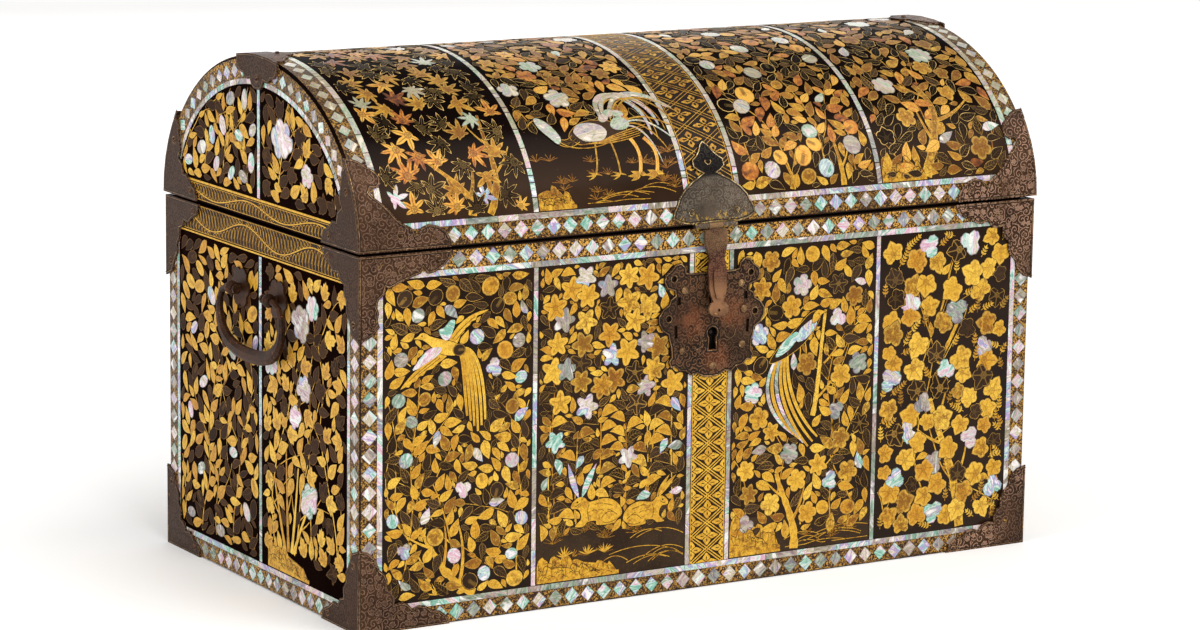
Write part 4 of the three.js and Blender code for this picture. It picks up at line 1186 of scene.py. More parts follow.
def clearance(g, n=14):
    """Steps to the nearest taken cell, for every free cell."""
    cur = g == 0
    cur[0] = cur[-1] = False
    cur[:, 0] = cur[:, -1] = False
    d = cur.astype(np.int16)
    for k in range(n):
        nx = np.zeros_like(cur)
        c = cur
        nx[1:-1, 1:-1] = c[1:-1, 1:-1] & c[:-2, 1:-1] & c[2:, 1:-1] & c[1:-1, :-2] & c[1:-1, 2:]
        if k % 2:
            nx[1:-1, 1:-1] &= c[:-2, :-2] & c[2:, :-2] & c[:-2, 2:] & c[2:, 2:]
        cur = nx
        if not cur.any():
            break
        d += cur
    return d


def sprig(P, grid, p, ang, length, rng, mat="gold"):
    """A fern-like spray of small paired leaflets."""
    line = stem_curve(rng, p, ang, length, 0.25, 2.0, 0.0)
    n = len(line)
    w = np.array([line[0], line[n // 2], line[-1]])
    d = np.gradient(line, axis=0)
    d /= np.hypot(d[:, 0], d[:, 1])[:, None]
    nr = np.stack([-d[:, 1], d[:, 0]], -1)
    hull = np.concatenate([line + nr * 2.2, (line - nr * 2.2)[::-1]])
    k = grid.fit(hull, 0.22, 3)
    if k is None:
        return False
    grid.mark()
    t = tint_of(rng, mat)
    add_ribbon(P.a(mat), line, 0.35, layer_h(k), t)
    for i in range(1, n):
        s = 3.3 * (1 - 0.35 * i / n)
        a = math.atan2(d[i][1], d[i][0])
        for sd in (1, -1):
            add_shape(P.a(mat), leaf_shape(s, s * 0.52, 0, 4, 0.6), line[i], a + sd * 0.95, layer_h(k) + 0.01, t)
    add_shape(P.a(mat), leaf_shape(3.0, 1.6, 0, 4, 0.6), line[-1], math.atan2(d[-1][1], d[-1][0]), layer_h(k) + 0.01, t)
    return True


def stem_curve(rng, p, ang, length, wander=0.35, step=3.0, pull=0.05, target=PI / 2):
    pts = [np.array(p, float)]
    a = ang
    turn = 0.0
    for _ in range(max(2, int(length / step))):
        turn = 0.8 * turn + rng.normal(0, wander * 0.35)
        a += turn * 0.35 + (target - a) * pull
        pts.append(pts[-1] + step * np.array([math.cos(a), math.sin(a)]))
    return np.array(pts)


def grow_panel(P, grid, rng, style, box):
    """Shell pieces, stems with leaves and flowers, then fillers, inside one panel."""
    u0, u1, v0, v1 = box
    kinds, mats = style["kinds"], style["mats"]
    size, scale, wear = style["size"], style.get("scale", {}), style.get("wear")
    ground = style.get("ground", 0.0)
    st = P.a(style.get("stem_mat", "gold"))
    spread_shell(P, grid, rng, style.get("shell", ()), box, ground)
    for spec, mm in style.get("first", ()):
        spread_shell(P, grid, rng, (spec,), box, ground + style.get("first_up", 0.0), mm, wear, style.get("first_over", 0.10))

    def sized(kind, k=1.0):
        return rng.uniform(*size) * k * scale.get(kind, 1.0)

    def mat_for(kind):
        return pick(rng, mats.get(kind, style["default"]))

    stems = []
    for k in range(style["stems"]):
        x = u0 + (u1 - u0) * (k + 0.5 + rng.uniform(-0.2, 0.2)) / style["stems"]
        a = PI / 2 + rng.uniform(-0.2, 0.2) * style.get("lean", 1.0)
        z0 = v0 + max(2.0, ground) + rng.uniform(0, 6)
        line = stem_curve(rng, (x, z0), a, (v1 - z0) * rng.uniform(0.8, 1.0), style.get("wander", 0.35), pull=0.06)
        stems.append((line, style.get("stem_w", 1.0)))
        for _ in range(style.get("branches", 3)):
            i = int(rng.integers(3, max(4, len(line) - 3)))
            b = line[min(i, len(line) - 1)]
            side = rng.choice([-1, 1])
            br = stem_curve(rng, b, PI / 2 + side * rng.uniform(0.5, 1.1), rng.uniform(25, 60), 0.35, pull=0.03)
            stems.append((br, 0.65 * style.get("stem_w", 1.0)))
    inside = lambda p, m=1.5: u0 + m < p[0] < u1 - m and v0 + m < p[1] < v1 - m
    on_stem = style.get("stem_kinds", kinds)
    lo_a, hi_a = style.get("leaf_ang", (0.55, 1.15))
    for line, w in stems:
        keep = []
        for p in line:
            if not inside(p):
                break
            a0, b0 = int((p[0] - grid.u0) / grid.res), int((p[1] - grid.v0) / grid.res)
            if grid.g[a0, b0] >= 90:
                if keep:
                    break
                continue
            keep.append(p)
        if len(keep) < 4:
            continue
        keep = np.array(keep)
        add_ribbon(st, keep, np.linspace(w, w * 0.5, len(keep)), 0.08, tint_of(rng, "gold"))
        i = 2
        side = rng.choice([-1, 1])
        while i < len(keep) - 1:
            d = keep[i + 1] - keep[i]
            a = math.atan2(d[1], d[0])
            for sd in ((side,) if not style.get("pairs") else (1, -1)):
                kind = pick(rng, on_stem)
                for _ in range(3):
                    ang = a + sd * rng.uniform(lo_a, hi_a)
                    sz = sized(kind)
                    off = 1.0 if kind in LONG else sz * 0.52
                    p = keep[i] + off * np.array([math.cos(ang), math.sin(ang)])
                    if put(P, grid, kind, p, ang, sz, rng, style["overlap"], mat_for(kind), wear=wear):
                        break
            side = -side
            i += int(rng.integers(2, 4)) if not style.get("pairs") else 3
        kind = pick(rng, style.get("tips", kinds))
        put(P, grid, kind, keep[-1], math.atan2(*(keep[-1] - keep[-2])[::-1]), sized(kind), rng, 0.2, mat_for(kind), wear=wear)

    # fillers go close to what is there already, large ones first
    res = grid.res
    low = int(max(0, ground) / res)
    for tries, shrink, ov in style["fill"]:
        misses, d = 0, None
        for t in range(tries):
            if t % 25 == 0:
                d = clearance(grid.g, 10)
                d[:, :low] = 0
            kind = pick(rng, style.get("small", kinds) if shrink < 0.7 else kinds)
            sz = sized(kind, shrink)
            need = max(1.0, sz * (0.20 if kind in LONG else 0.36 if kind != "maple" else 0.24) / res)
            cand = np.flatnonzero(d >= need)
            if not len(cand):
                misses += 1
                if misses > 30:
                    break
                continue
            c = np.stack(np.unravel_index(cand[rng.integers(0, len(cand), 6)], d.shape), -1)
            c = c[int(np.argmin(d[c[:, 0], c[:, 1]]))]
            p = (grid.u0 + (c[0] + 0.5) * res, grid.v0 + (c[1] + 0.5) * res)
            mat = mat_for(kind)
            a0 = rng.uniform(0, 2 * PI)
            tries_ = 5 if kind in LONG else 2
            for q in range(tries_):
                ang = a0 + q * 2 * PI / tries_ + rng.uniform(-0.2, 0.2)
                if put(P, grid, kind, centred(kind, p, ang, sz), ang, sz, rng, ov, mat, wear=wear):
                    # what was just covered isn't free any more
                    sl = grid._last[0]
                    d[sl[0], sl[1]] = 0
                    misses = 0
                    break
            else:
                misses += 1
                d[max(0, c[0] - 1):c[0] + 2, max(0, c[1] - 1):c[1] + 2] = 0
                if misses > 30:
                    break
    for t in range(style.get("sprigs", 0)):
        if t % 25 == 0:
            d = clearance(grid.g, 4)
        cand = np.flatnonzero(d >= 3)
        if not len(cand):
            break
        c = np.unravel_index(cand[int(rng.integers(0, len(cand)))], d.shape)
        if not sprig(P, grid, (grid.u0 + (c[0] + 0.5) * res, grid.v0 + (c[1] + 0.5) * res), rng.uniform(0.2, PI - 0.2), rng.uniform(6, 13), rng):
            d[max(0, c[0] - 1):c[0] + 2, max(0, c[1] - 1):c[1] + 2] = 0


def tapered(line, w0, w1, mid=None):
    n = len(line)
    s = np.linspace(0, 1, n)
    return w0 + (w1 - w0) * s if mid is None else w0 * (1 - s) ** 2 + 2 * mid * s * (1 - s) + w1 * s * s


def bez(*pts, n=14):
    pts = np.array(pts, float)
    t = np.linspace(0, 1, n)[:, None]
    while True:
        if len(pts) == 1:
            return pts[0]
        k = len(pts) - 1
        from math import comb
        return sum(comb(k, i) * (1 - t) ** (k - i) * t ** i * pts[i] for i in range(k + 1))


def grid_block_ribbon(grid, line, widths, k=3, grow=0.8):
    w = np.asarray(widths, float)
    w = np.full(len(line), w) if w.ndim == 0 else w
    L, R = ribbon_pts(line, w + grow)
    grid.block(np.concatenate([L, R[::-1]]), k)


# ------------------------------------------------------------------ borders and inlay strips
def pearl_strip(P, a, b, w=3.4, rng=None, h=0.2):
    """Shell strip from a to b, laid in lengths."""
    a, b = np.array(a, float), np.array(b, float)
    L = np.hypot(*(b - a))
    d = (b - a) / L
    x = 0.0
    while x < L - 0.5:
        seg = min(rng.uniform(11, 34), L - x)
        if L - x - seg < 4:
            seg = L - x
        x0, x1 = x + 0.12, x + seg - 0.12
        n = max(2, int((x1 - x0) / 5) + 1)
        line = np.array([a + d * (x0 + (x1 - x0) * k / (n - 1)) for k in range(n)])
        add_ribbon(P.a("pearl"), line, w, h, (rng.random(), rng.random(), rng.random()), 0.0)
        x += seg


def pearl_path(P, line, w, rng, h=0.2):
    """Shell strip along a curve, cut into short lengths."""
    i = 0
    n = len(line)
    while i < n - 1:
        k = int(rng.integers(1, 4))
        j = min(n - 1, i + k)
        seg = np.array(line[i:j + 1], float)
        seg[0] += (seg[1] - seg[0]) * 0.07
        seg[-1] += (seg[-2] - seg[-1]) * 0.07
        add_ribbon(P.a("pearl"), seg, w, h, (rng.random(), rng.random(), rng.random()), 0.0)
        i = j


DIA = np.array([[-1, 0], [0, -1], [1, 0], [0, 1]], float)


def diamond(P, p, ang, rx, ry, rng, h=0.2):
    k = rng.uniform(0.93, 1.05)
    c, s = math.cos(ang), math.sin(ang)
    ring = DIA * (rx * k, ry * k)
    pts = np.concatenate([[[0, 0]], ring])
    xy = np.stack([p[0] + pts[:, 0] * c - pts[:, 1] * s, p[1] + pts[:, 0] * s + pts[:, 1] * c], -1)
    e = np.array([0, 1, 1, 1, 1.0])
    q = np.concatenate([pts / 5, np.zeros((5, 1))], 1)
    P.a("pearl").prism(xy, h, [1, 2, 3, 4], [(0, 1, 2), (0, 2, 3), (0, 3, 4), (0, 4, 1)], e, q,
                       (rng.random(), rng.random(), rng.random() * 1.02))


def diamond_row(P, a, b, rng, rx=5.1, ry=5.2, pitch=11.3):
    a, b = np.array(a, float), np.array(b, float)
    L = np.hypot(*(b - a))
    n = int(round(L / pitch))
    ang = math.atan2(*(b - a)[::-1])
    for k in range(n):
        p = a + (b - a) * (k + 0.5) / n
        diamond(P, p, ang + rng.normal(0, 0.03), rx, ry, rng)


def band(P, mat, u0, u1, v0, v1, h, tint, nv=1, nu=1):
    """Rectangle in face coordinates, closed, cut nu by nv."""
    us, vs = np.linspace(u0, u1, nu + 1), np.linspace(v0, v1, nv + 1)
    pts = np.array([[u, v] for v in vs for u in us])
    idx = lambda i, j: j * (nu + 1) + i
    faces = [(idx(i, j), idx(i + 1, j), idx(i + 1, j + 1), idx(i, j + 1)) for j in range(nv) for i in range(nu)]
    ring = [idx(i, 0) for i in range(nu)] + [idx(nu, j) for j in range(nv)] + [idx(i, nv) for i in range(nu, 0, -1)] + [idx(0, j) for j in range(nv, 0, -1)]
    N = len(pts)
    # a wide flat ring as one bottom face would sink on a curve, so the bottom is cut as the top is
    e = np.zeros(N)
    q = np.concatenate([pts, np.full((N, 1), -1.0)], 1)
    acc = P.a(mat)
    pts3 = np.empty((2 * N, 3))
    pts3[:N, :2] = pts3[N:, :2] = pts
    pts3[:N, 2] = h
    pts3[N:, 2] = -0.12
    acc.uvh.append(pts3)
    acc.e.append(np.concatenate([e, e]))
    acc.q.append(np.concatenate([q, q]))
    acc.tint.append(np.broadcast_to(np.asarray(tint, float), (2 * N, 3)))
    o = acc.n
    for f in faces:
        acc.loops.extend(o + i for i in f)
        acc.totals.append(4)
        acc.loops.extend(o + N + i for i in f[::-1])
        acc.totals.append(4)
    R = len(ring)
    for k in range(R):
        a, b = ring[k], ring[(k + 1) % R]
        acc.loops.extend((o + a, o + N + a, o + N + b, o + b))
        acc.totals.append(4)
    acc.n += 2 * N


# styles of the panels
def style(**kw):
    s = dict(kinds={"leaf": 6, "fruit": 2}, mats={}, default={"gold": 7, "dark": 3}, size=(9, 12), stems=5, overlap=0.10, small={"leaf": 1},
             fill=[(900, 1.0, 0.06), (900, 0.82, 0.05), (900, 0.64, 0.04), (600, 0.46, 0.03)])
    s.update(kw)
    return s


S_FRUIT = style(kinds={"leaf": 9, "fruit": 0.8}, mats={"fruit": {"gold": 6, "dark": 4}, "leaf": {"gold": 7.0, "dark": 3.2}},
                size=(9.4, 12.8), stems=5, branches=4, overlap=0.12, shell=(("fruit", 15, 8.5, 10.5), ("leaf", 8, 9, 12), ("shell", 3, 10, 12)))
S_BELL = style(kinds={"leaf": 2.6, "half": 1.0}, scale={"half": 1.0},
               mats={"leaf": {"gold": 7.0, "dark": 3}, "half": {"gold": 6.6, "dark": 3.6}},
               size=(8.6, 11), stems=5, branches=0, wander=0.12, lean=0.4, ground=30, leaf_ang=(0.8, 1.3),
               first=((("star5", 22, 14, 17), {"gold": 7.4, "dark": 2.6}), (("star6", 11, 13, 16.5), {"gold": 7.4, "dark": 2.6})), first_up=56, first_over=0.22, overlap=0.14,
               shell=(("star5", 8, 13, 15.5), ("leaf", 6, 9, 12)))
S_BLOOM = style(kinds={"leaf": 6.0, "fruit": 0.3}, scale={},
                mats={"leaf": {"gold": 7.2, "dark": 2.8}, "fruit": {"gold": 8, "dark": 2}},
                size=(9.8, 13.2), stems=5, branches=4, ground=14, overlap=0.16,
                first=((("blossom", 12, 12.5, 15), {"gold": 8.5, "dark": 1.0}), (("star6", 6, 12, 15), {"gold": 8, "dark": 2})),
                shell=(("blossom", 5, 12, 14), ("shell", 4, 11, 13), ("leaf", 4, 9, 12)))
S_IVY = style(kinds={"ivy": 3.0, "leaf": 0.4}, scale={"ivy": 1.22, "slim": 0.62, "leaf": 0.8}, small={"slim": 1, "leaf": 1},
              mats={"ivy": {"gold": 7.4, "dark": 2.6}, "slim": {"gold": 10, "dark": 0.5}, "leaf": {"gold": 9, "dark": 1}},
              size=(9.5, 12.5), stems=4, branches=4, sprigs=1500, overlap=0.18, shell=(("shell", 14, 13.5, 16.5),),
              first=((("ivy", 56, 15.5, 19), {"gold": 7.0, "dark": 3.0}),), first_over=0.36,
              fill=[(50, 1.0, 0.15)])
S_MAPLE = style(kinds={"maple": 1.0}, scale={"maple": 1.85}, mats={"maple": {"gold": 3.8, "orange": 2.8, "ghost": 5.6}}, small={"maple": 1},
                size=(9.4, 11.6), stems=0, branches=0, overlap=0.18, wander=0.4, shell=(("maple", 14, 16, 19),),
                first=((("maple", 26, 17, 21), {"gold": 3, "orange": 2.4, "ghost": 1.5}),),
                fill=[(400, 1.0, 0.20), (300, 0.82, 0.12), (200, 0.66, 0.08)])
S_LIDBIRD = style(kinds={"leaf": 5.0, "star6": 0.5}, scale={"blossom": 1.2, "star6": 1.15},
                  mats={"leaf": {"gold": 4.2, "orange": 1.5, "ghost": 3.6, "dark": 1.2}, "star6": {"gold": 2, "orange": 1}},
                  size=(10, 13.5), stems=4, branches=3, shell=(("blossom", 7, 13, 16), ("leaf", 10, 10, 14)),
                  first=((("blossom", 7, 12, 15), {"gold": 3, "ghost": 2, "orange": 1.5}),), fill=[(700, 1.0, 0.08), (600, 0.8, 0.06), (500, 0.62, 0.05)])
S_LIDFRUIT = style(kinds={"leaf": 5.6, "fruit": 0.6}, scale={"fruit": 1.1},
                   mats={"leaf": {"gold": 4.0, "orange": 1.8, "ghost": 3.8, "dark": 1.2}, "fruit": {"orange": 4, "ghost": 2.5, "gold": 0.6}},
                   size=(9.8, 13.6), stems=4, branches=4, shell=(("fruit", 19, 11, 13.5), ("leaf", 6, 10, 13)),
                   first=((("fruit", 12, 11, 13.5), {"orange": 5, "ghost": 3, "gold": 0.6}),), fill=[(700, 1.0, 0.08), (600, 0.8, 0.06), (500, 0.62, 0.05)])
S_LIDCLOUD = style(kinds={"leaf": 5.6, "ivy": 0.3}, scale={"leaf": 1.1, "blossom": 1.2, "ivy": 1.25},
                   mats={"leaf": {"gold": 4.6, "orange": 1.3, "ghost": 3.4, "dark": 1.4}, "ivy": {"gold": 3, "ghost": 2}},
                   size=(9.8, 13.4), stems=3, branches=4, shell=(("cloud", 9, 15, 19), ("leaf", 8, 11, 14)),
                   first=((("blossom", 7, 13, 16), {"gold": 5, "ghost": 2, "orange": 1}),), fill=[(700, 1.0, 0.08), (600, 0.8, 0.06), (500, 0.62, 0.05)])
S_ENDLEAF = style(kinds={"leaf": 5.0, "slim": 1.6, "oval": 1.0}, scale={"oval": 0.9}, wear=0.45,
                  mats={"leaf": {"gold": 6.0, "brown": 3.8}, "slim": {"gold": 6.0, "brown": 3.8}, "oval": {"gold": 4.0, "brown": 6.0}},
                  size=(11.5, 15.5), stems=5, branches=5, shell=(("oval", 12, 10, 12.5),), fill=[(400, 1.0, 0.06), (300, 0.8, 0.05), (260, 0.62, 0.04)])
S_ENDPEONY = style(kinds={"lobed": 2.4, "leaf": 2.2}, scale={"lobed": 1.5, "leaf": 1.15}, wear=0.45,
                   mats={"lobed": {"gold": 5.6, "brown": 4.2}, "leaf": {"gold": 5.4, "brown": 4.6}},
                   size=(10.5, 13.5), stems=4, branches=4, ground=14, stem_w=1.2, fill=[(300, 1.0, 0.06), (260, 0.8, 0.05), (200, 0.62, 0.04)])


def add_poly(acc, ring, h, tint, qn=-1.0, scale=5.0):
    """Flat plate with any simple outline."""
    ring = np.asarray(ring, float)
    if len(ring) < 3:
        return
    a2 = float(np.sum(ring[:, 0] * np.roll(ring[:, 1], -1) - np.roll(ring[:, 0], -1) * ring[:, 1]))
    if abs(a2) < 0.04:
        return
    if a2 < 0:
        ring = ring[::-1]
    n = len(ring)
    c = ring.mean(0)
    q = np.concatenate([(ring - c) / scale, np.full((n, 1), qn)], 1)
    acc.prism(ring, h, list(range(n)), [tuple(range(n))], np.zeros(n), q, tint)


def clip_ring(ring, box):
    """Sutherland-Hodgman against the sides of a box."""
    u0, u1, v0, v1 = box
    pts = [tuple(p) for p in ring]
    for k, lim, sgn in ((0, u0, 1), (0, u1, -1), (1, v0, 1), (1, v1, -1)):
        out = []
        for i in range(len(pts)):
            p, q = pts[i - 1], pts[i]
            a, b = (p[k] - lim) * sgn, (q[k] - lim) * sgn
            if (a >= 0) != (b >= 0):
                t = a / (a - b)
                out.append((p[0] + (q[0] - p[0]) * t, p[1] + (q[1] - p[1]) * t))
            if b >= 0:
                out.append(q)
        # leave out points that lie on each other
        pts = [p for i, p in enumerate(out) if math.hypot(p[0] - out[i - 1][0], p[1] - out[i - 1][1]) > 0.03]
        if len(pts) < 3:
            return []
    return pts


def clip_seg(p, q, box):
    p, q = np.array(p, float), np.array(q, float)
    d = q - p
    t0, t1 = 0.0, 1.0
    for k, (lo, hi) in enumerate(((box[0], box[1]), (box[2], box[3]))):
        if abs(d[k]) < 1e-9:
            if not lo <= p[k] <= hi:
                return None
            continue
        a, b = (lo - p[k]) / d[k], (hi - p[k]) / d[k]
        t0, t1 = max(t0, min(a, b)), min(t1, max(a, b))
    if t1 - t0 < 0.01:
        return None
    return p + d * t0, p + d * t1


def lattice(P, u0, u1, v0, v1, rng, centres, hx, pitch, R, line_w, off, edge_lines, slit=1.0, z0=None):
    """Dark ground with gold double diagonals and a four-petalled gold flower filling every lozenge.
    R is the flower's size as a share of the lozenge, slit the half-width of its dark slits."""
    box = (u0 + 0.1, u1 - 0.1, v0 + 0.1, v1 - 0.1)
    z0 = v0 if z0 is None else z0
    band(P, "line", u0, u1, v0, v1, 0.05, (0, 0, 0), max(1, int((v1 - v0) / 7)), 4)
    gold, dark = P.a("gold"), P.a("line")
    hy = pitch / 2
    k0, k1 = int((v0 - z0) / pitch) - 4, int((v1 - z0) / pitch) + 5
    c0 = centres[0]
    for k in range(k0, k1):
        for s in (-1, 1):
            for o in (-off, off):
                # diagonals pass midway between the flowers
                zc = z0 + (k + 0.5) * pitch
                span = 3.0
                seg = clip_seg((c0 - span * hx * 2, zc + o - s * span * pitch), (c0 + span * hx * 2, zc + o + s * span * pitch), box)
                if seg is None:
                    continue
                p, q = seg
                L = math.hypot(*(q - p))
                if L < 0.8:
                    continue
                add_ribbon(gold, np.array([p + (q - p) * t for t in np.linspace(0, 1, max(2, int(L / 5) + 1))]), line_w, 0.12 if s > 0 else 0.135, (0.55 + 0.3 * rng.random(), 0.15, 0))
    sl = slit
    petal = [(0.03 + sl, sl), (0.30, 0.30 - 2 * sl), (0.37, 0.40 - 2 * sl), (0.46, 0.40 - 2 * sl), (0.56, 0.30), (0.66, 0.26), (0.80, 0.15), (0.90, 0.12), (1.0, 0.0)]
    for k in range(k0, k1):
        for j, cu in centres_of(centres, hx):
            cv = z0 + k * pitch + j * hy
            if cu < u0 - hx or cu > u1 + hx or cv < v0 - hy or cv > v1 + hy:
                continue
            tint = (0.45 + 0.4 * rng.random(), 0.25 * rng.random(), 0)
            for ax, ay in ((1, 0), (0, 1), (-1, 0), (0, -1)):
                at = lambda a, b: (cu + (a * ax - b * ay) * hx * R, cv + (a * ay + b * ax) * hy * R)
                ring = clip_ring([at(a, -b) for a, b in petal] + [at(a, b) for a, b in petal[-2::-1]], box)
                if len(ring) >= 3:
                    add_poly(gold, ring, 0.13, tint)
                w = 0.75 * sl + 0.012
                ring = clip_ring([at(0.20, 0), at(0.34, -w), at(0.50, -1.5 * w), at(0.64, 0), at(0.50, 1.5 * w), at(0.34, w)], box)
                if len(ring) >= 3:
                    add_poly(dark, ring, 0.16, (0, 0, 0))
    for x in edge_lines:
        add_ribbon(gold, np.array([(x, v) for v in np.linspace(v0 + 0.2, v1 - 0.2, max(2, int((v1 - v0) / 6)))]), 0.5, 0.14, (0.6, 0.2, 0))


def centres_of(centres, hx):
    """(row offset 0 or 1, column) of the lozenges."""
    out = []
    for k, c in enumerate(centres):
        out += [(k % 2, c), (k % 2, c - 2 * hx), (k % 2, c + 2 * hx)]
    return out


# ------------------------------------------------------------------ pictures (generic birds, hares, rocks, trees)
def rock(P, grid, u0, u1, v0, h, rng, mat="gold"):
    """Rock bank: a lumpy gold mass with contour strokes."""
    W_ = u1 - u0
    n = max(3, int(W_ / 8))
    own = np.random.default_rng(int(W_ * 10 + h * 100))
    for row, (frac, up) in enumerate(((1.0, 1.0), (0.78, 0.62))):
        top = []
        peak = own.uniform(0.0, 1.25, n + 2)
        for k in range(n * 8 + 1):
            s = k / (n * 8)
            x_ = s * n + row * 0.35
            f_ = x_ - int(x_)
            # steep left flank, broken shoulder on the right
            lump = peak[int(x_)] * min(1.0, f_ / 0.18, (1 - f_) / 0.42) ** 0.6 * (1 - 0.25 * (f_ > 0.5))
            env = (1 - 0.55 * abs(s * frac - 0.28) / 0.72) * (1.0 if s < 0.85 else 1 - (s - 0.85) / 0.15 * 0.75)
            top.append((u0 + W_ * frac * s, v0 + h * up * max(0.12, env * (0.70 + 0.30 * lump))))
        ring = [(u0, v0)] + [(u0 + W_ * frac, v0)] + top[::-1]
        ring = [p for i, p in enumerate(ring) if math.hypot(p[0] - ring[i - 1][0], p[1] - ring[i - 1][1]) > 0.05]
        # cut into pieces no wider than 8 mm, so that they follow a curved face
        m = max(1, int(W_ * frac / 8))
        for k in range(m):
            a, b = u0 + W_ * frac * k / m, u0 + W_ * frac * (k + 1) / m
            for c0 in np.arange(v0, v0 + h, 8.0):
                piece = clip_ring(ring, (a, b, c0, min(c0 + 8.0, v0 + h + 1)))
                if len(piece) >= 3:
                    add_poly(P.a(mat), piece, 0.11 + 0.05 * row, (0.55 if row else 0.35, 0.55, 0.3))
        line = np.array(top[1:-1])
        add_ribbon(P.a("line"), line - (0, 0.2), 0.35, 0.17 + 0.05 * row, (0, 0, 0))
        # upright hatching below every peak
        for k in range(n * 2):
            x = u0 + W_ * frac * (k + own.uniform(0.0, 1.0)) / (n * 2)
            zt = np.interp(x, line[:, 0], line[:, 1]) - v0
            if zt > 3:
                z1, z2 = v0 + zt * own.uniform(0.75, 0.93), v0 + zt * own.uniform(0.25, 0.65)
                add_ribbon(P.a("line"), bez((x, z1), (x + 0.7, (z1 + z2) / 2), (x + own.uniform(-1.6, 2.0), z2), n=5), 0.26, 0.17 + 0.05 * row, (0, 0, 0))
        for k in range(int(W_ * frac / 3.2)):
            x = rng.uniform(u0 + 2, u0 + W_ * frac - 3)
            zt = np.interp(x, line[:, 0], line[:, 1]) - v0
            z = v0 + zt * rng.uniform(0.2, 0.85)
            L = rng.uniform(2.5, 5)
            st = bez((x, z), (x + L * 0.5, z + rng.uniform(0.8, 1.8)), (x + L, z - 0.4), n=5)
            add_ribbon(P.a("line"), st, 0.28, 0.17 + 0.05 * row, (0, 0, 0))
        grid.block(np.array(ring), 100)


def smooth_ring(pts, k=3):
    """Closed curve through the points (Catmull-Rom)."""
    p = np.array(pts, float)
    n = len(p)
    out = []
    for i in range(n):
        a, b, c, d = p[i - 1], p[i], p[(i + 1) % n], p[(i + 2) % n]
        for j in range(k):
            t = j / k
            out.append(0.5 * (2 * b + (c - a) * t + (2 * a - 5 * b + 4 * c - d) * t * t + (3 * b - a - 3 * c + d) * t ** 3))
    return np.array(out)


def figure(P, grid, mat, pts, x, y, s, d, h, tint, line_w=0.32, k=3, rot=0.0):
    """Plate with a smooth outline, a dark contour line and room kept round it."""
    p = smooth_ring(pts, k)
    c, n = math.cos(rot), math.sin(rot)
    p = np.stack([p[:, 0] * c - p[:, 1] * n, p[:, 0] * n + p[:, 1] * c], -1)
    ring = np.stack([x + d * p[:, 0] * s, y + p[:, 1] * s], -1)
    lo, hi = ring.min(0), ring.max(0)
    nx, ny = max(1, int((hi[0] - lo[0]) / 9) + 1), max(1, int((hi[1] - lo[1]) / 9) + 1)
    if P.face == "barrel" and nx * ny > 1:
        for i in range(nx):
            for j in range(ny):
                piece = clip_ring(ring, (lo[0] + (hi[0] - lo[0]) * i / nx, lo[0] + (hi[0] - lo[0]) * (i + 1) / nx, lo[1] + (hi[1] - lo[1]) * j / ny, lo[1] + (hi[1] - lo[1]) * (j + 1) / ny))
                if len(piece) >= 3:
                    add_poly(P.a(mat), piece, h, tint)
    else:
        add_poly(P.a(mat), ring, h, tint)
    if line_w:
        add_ribbon(P.a("line" if mat != "dark" else "gold"), np.concatenate([ring, ring[:1]]), line_w, h + 0.03, (0.5, 0.2, 0))
    if grid is not None:
        grid.block(ring, 100)
    return ring


def strokes(P, mat, curves, x, y, s, d, w, h, tint=(0.4, 0.2, 0)):
    for c in curves:
        line = bez(*[(x + d * a * s, y + b * s) for a, b in c], n=7)
        add_ribbon(P.a(mat), line, w, h, tint)


def plume(P, grid, mat, pts, w0, wm, w1, h, tint, rng=None, n=18, cut=0):
    line = bez(*pts, n=n)
    wd = tapered(line, w0, w1, wm)
    if cut:
        for a in range(0, n - 1, cut):
            b = min(n, a + cut + 1)
            seg = line[a:b].copy()
            add_ribbon(P.a(mat), seg, wd[a:b], h, (rng.random(), rng.random(), 0.75 * rng.random()), -1.0)
    else:
        add_ribbon(P.a(mat), line, wd, h, tint, 0.0, spine=True)
    grid_block_ribbon(grid, line, wd, 100, 0.8)


def trunk(P, grid, pts, w0, w1, rng, mat="gold", n=16, branches=()):
    line = bez(*pts, n=n)
    wd = tapered(line, w0, w1) * (1 + 0.15 * np.sin(np.arange(n) * 2.3))
    add_ribbon(P.a(mat), line, wd, 0.16, (rng.random(), rng.random() * 0.6, 0.5), -1.0, spine=True)
    grid_block_ribbon(grid, line, wd, 3)
    for t, ang, length, w in branches:
        i = int(t * (n - 1))
        d = line[min(i + 1, n - 1)] - line[max(i - 1, 0)]
        a = math.atan2(d[1], d[0]) + ang
        p = line[i]
        e1 = p + length * 0.5 * np.array([math.cos(a), math.sin(a)])
        e2 = e1 + length * 0.5 * np.array([math.cos(a - ang * 0.5), math.sin(a - ang * 0.5)])
        br = bez(p, e1, e2, n=8)
        wb = tapered(br, w, w * 0.35)
        add_ribbon(P.a(mat), br, wb, 0.13, (rng.random(), rng.random() * 0.6, 0.5), -1.0, spine=True)
        grid_block_ribbon(grid, br, wb, 3)


def feather(P, mat, p, ang, L, Wd, curl, h, tint, K=9):
    sh = leaf_shape(L, Wd, curl, K, 0.85)
    add_shape(P.a(mat), sh, p, ang, h, tint)
    return outline(sh, p, ang, 1.1)


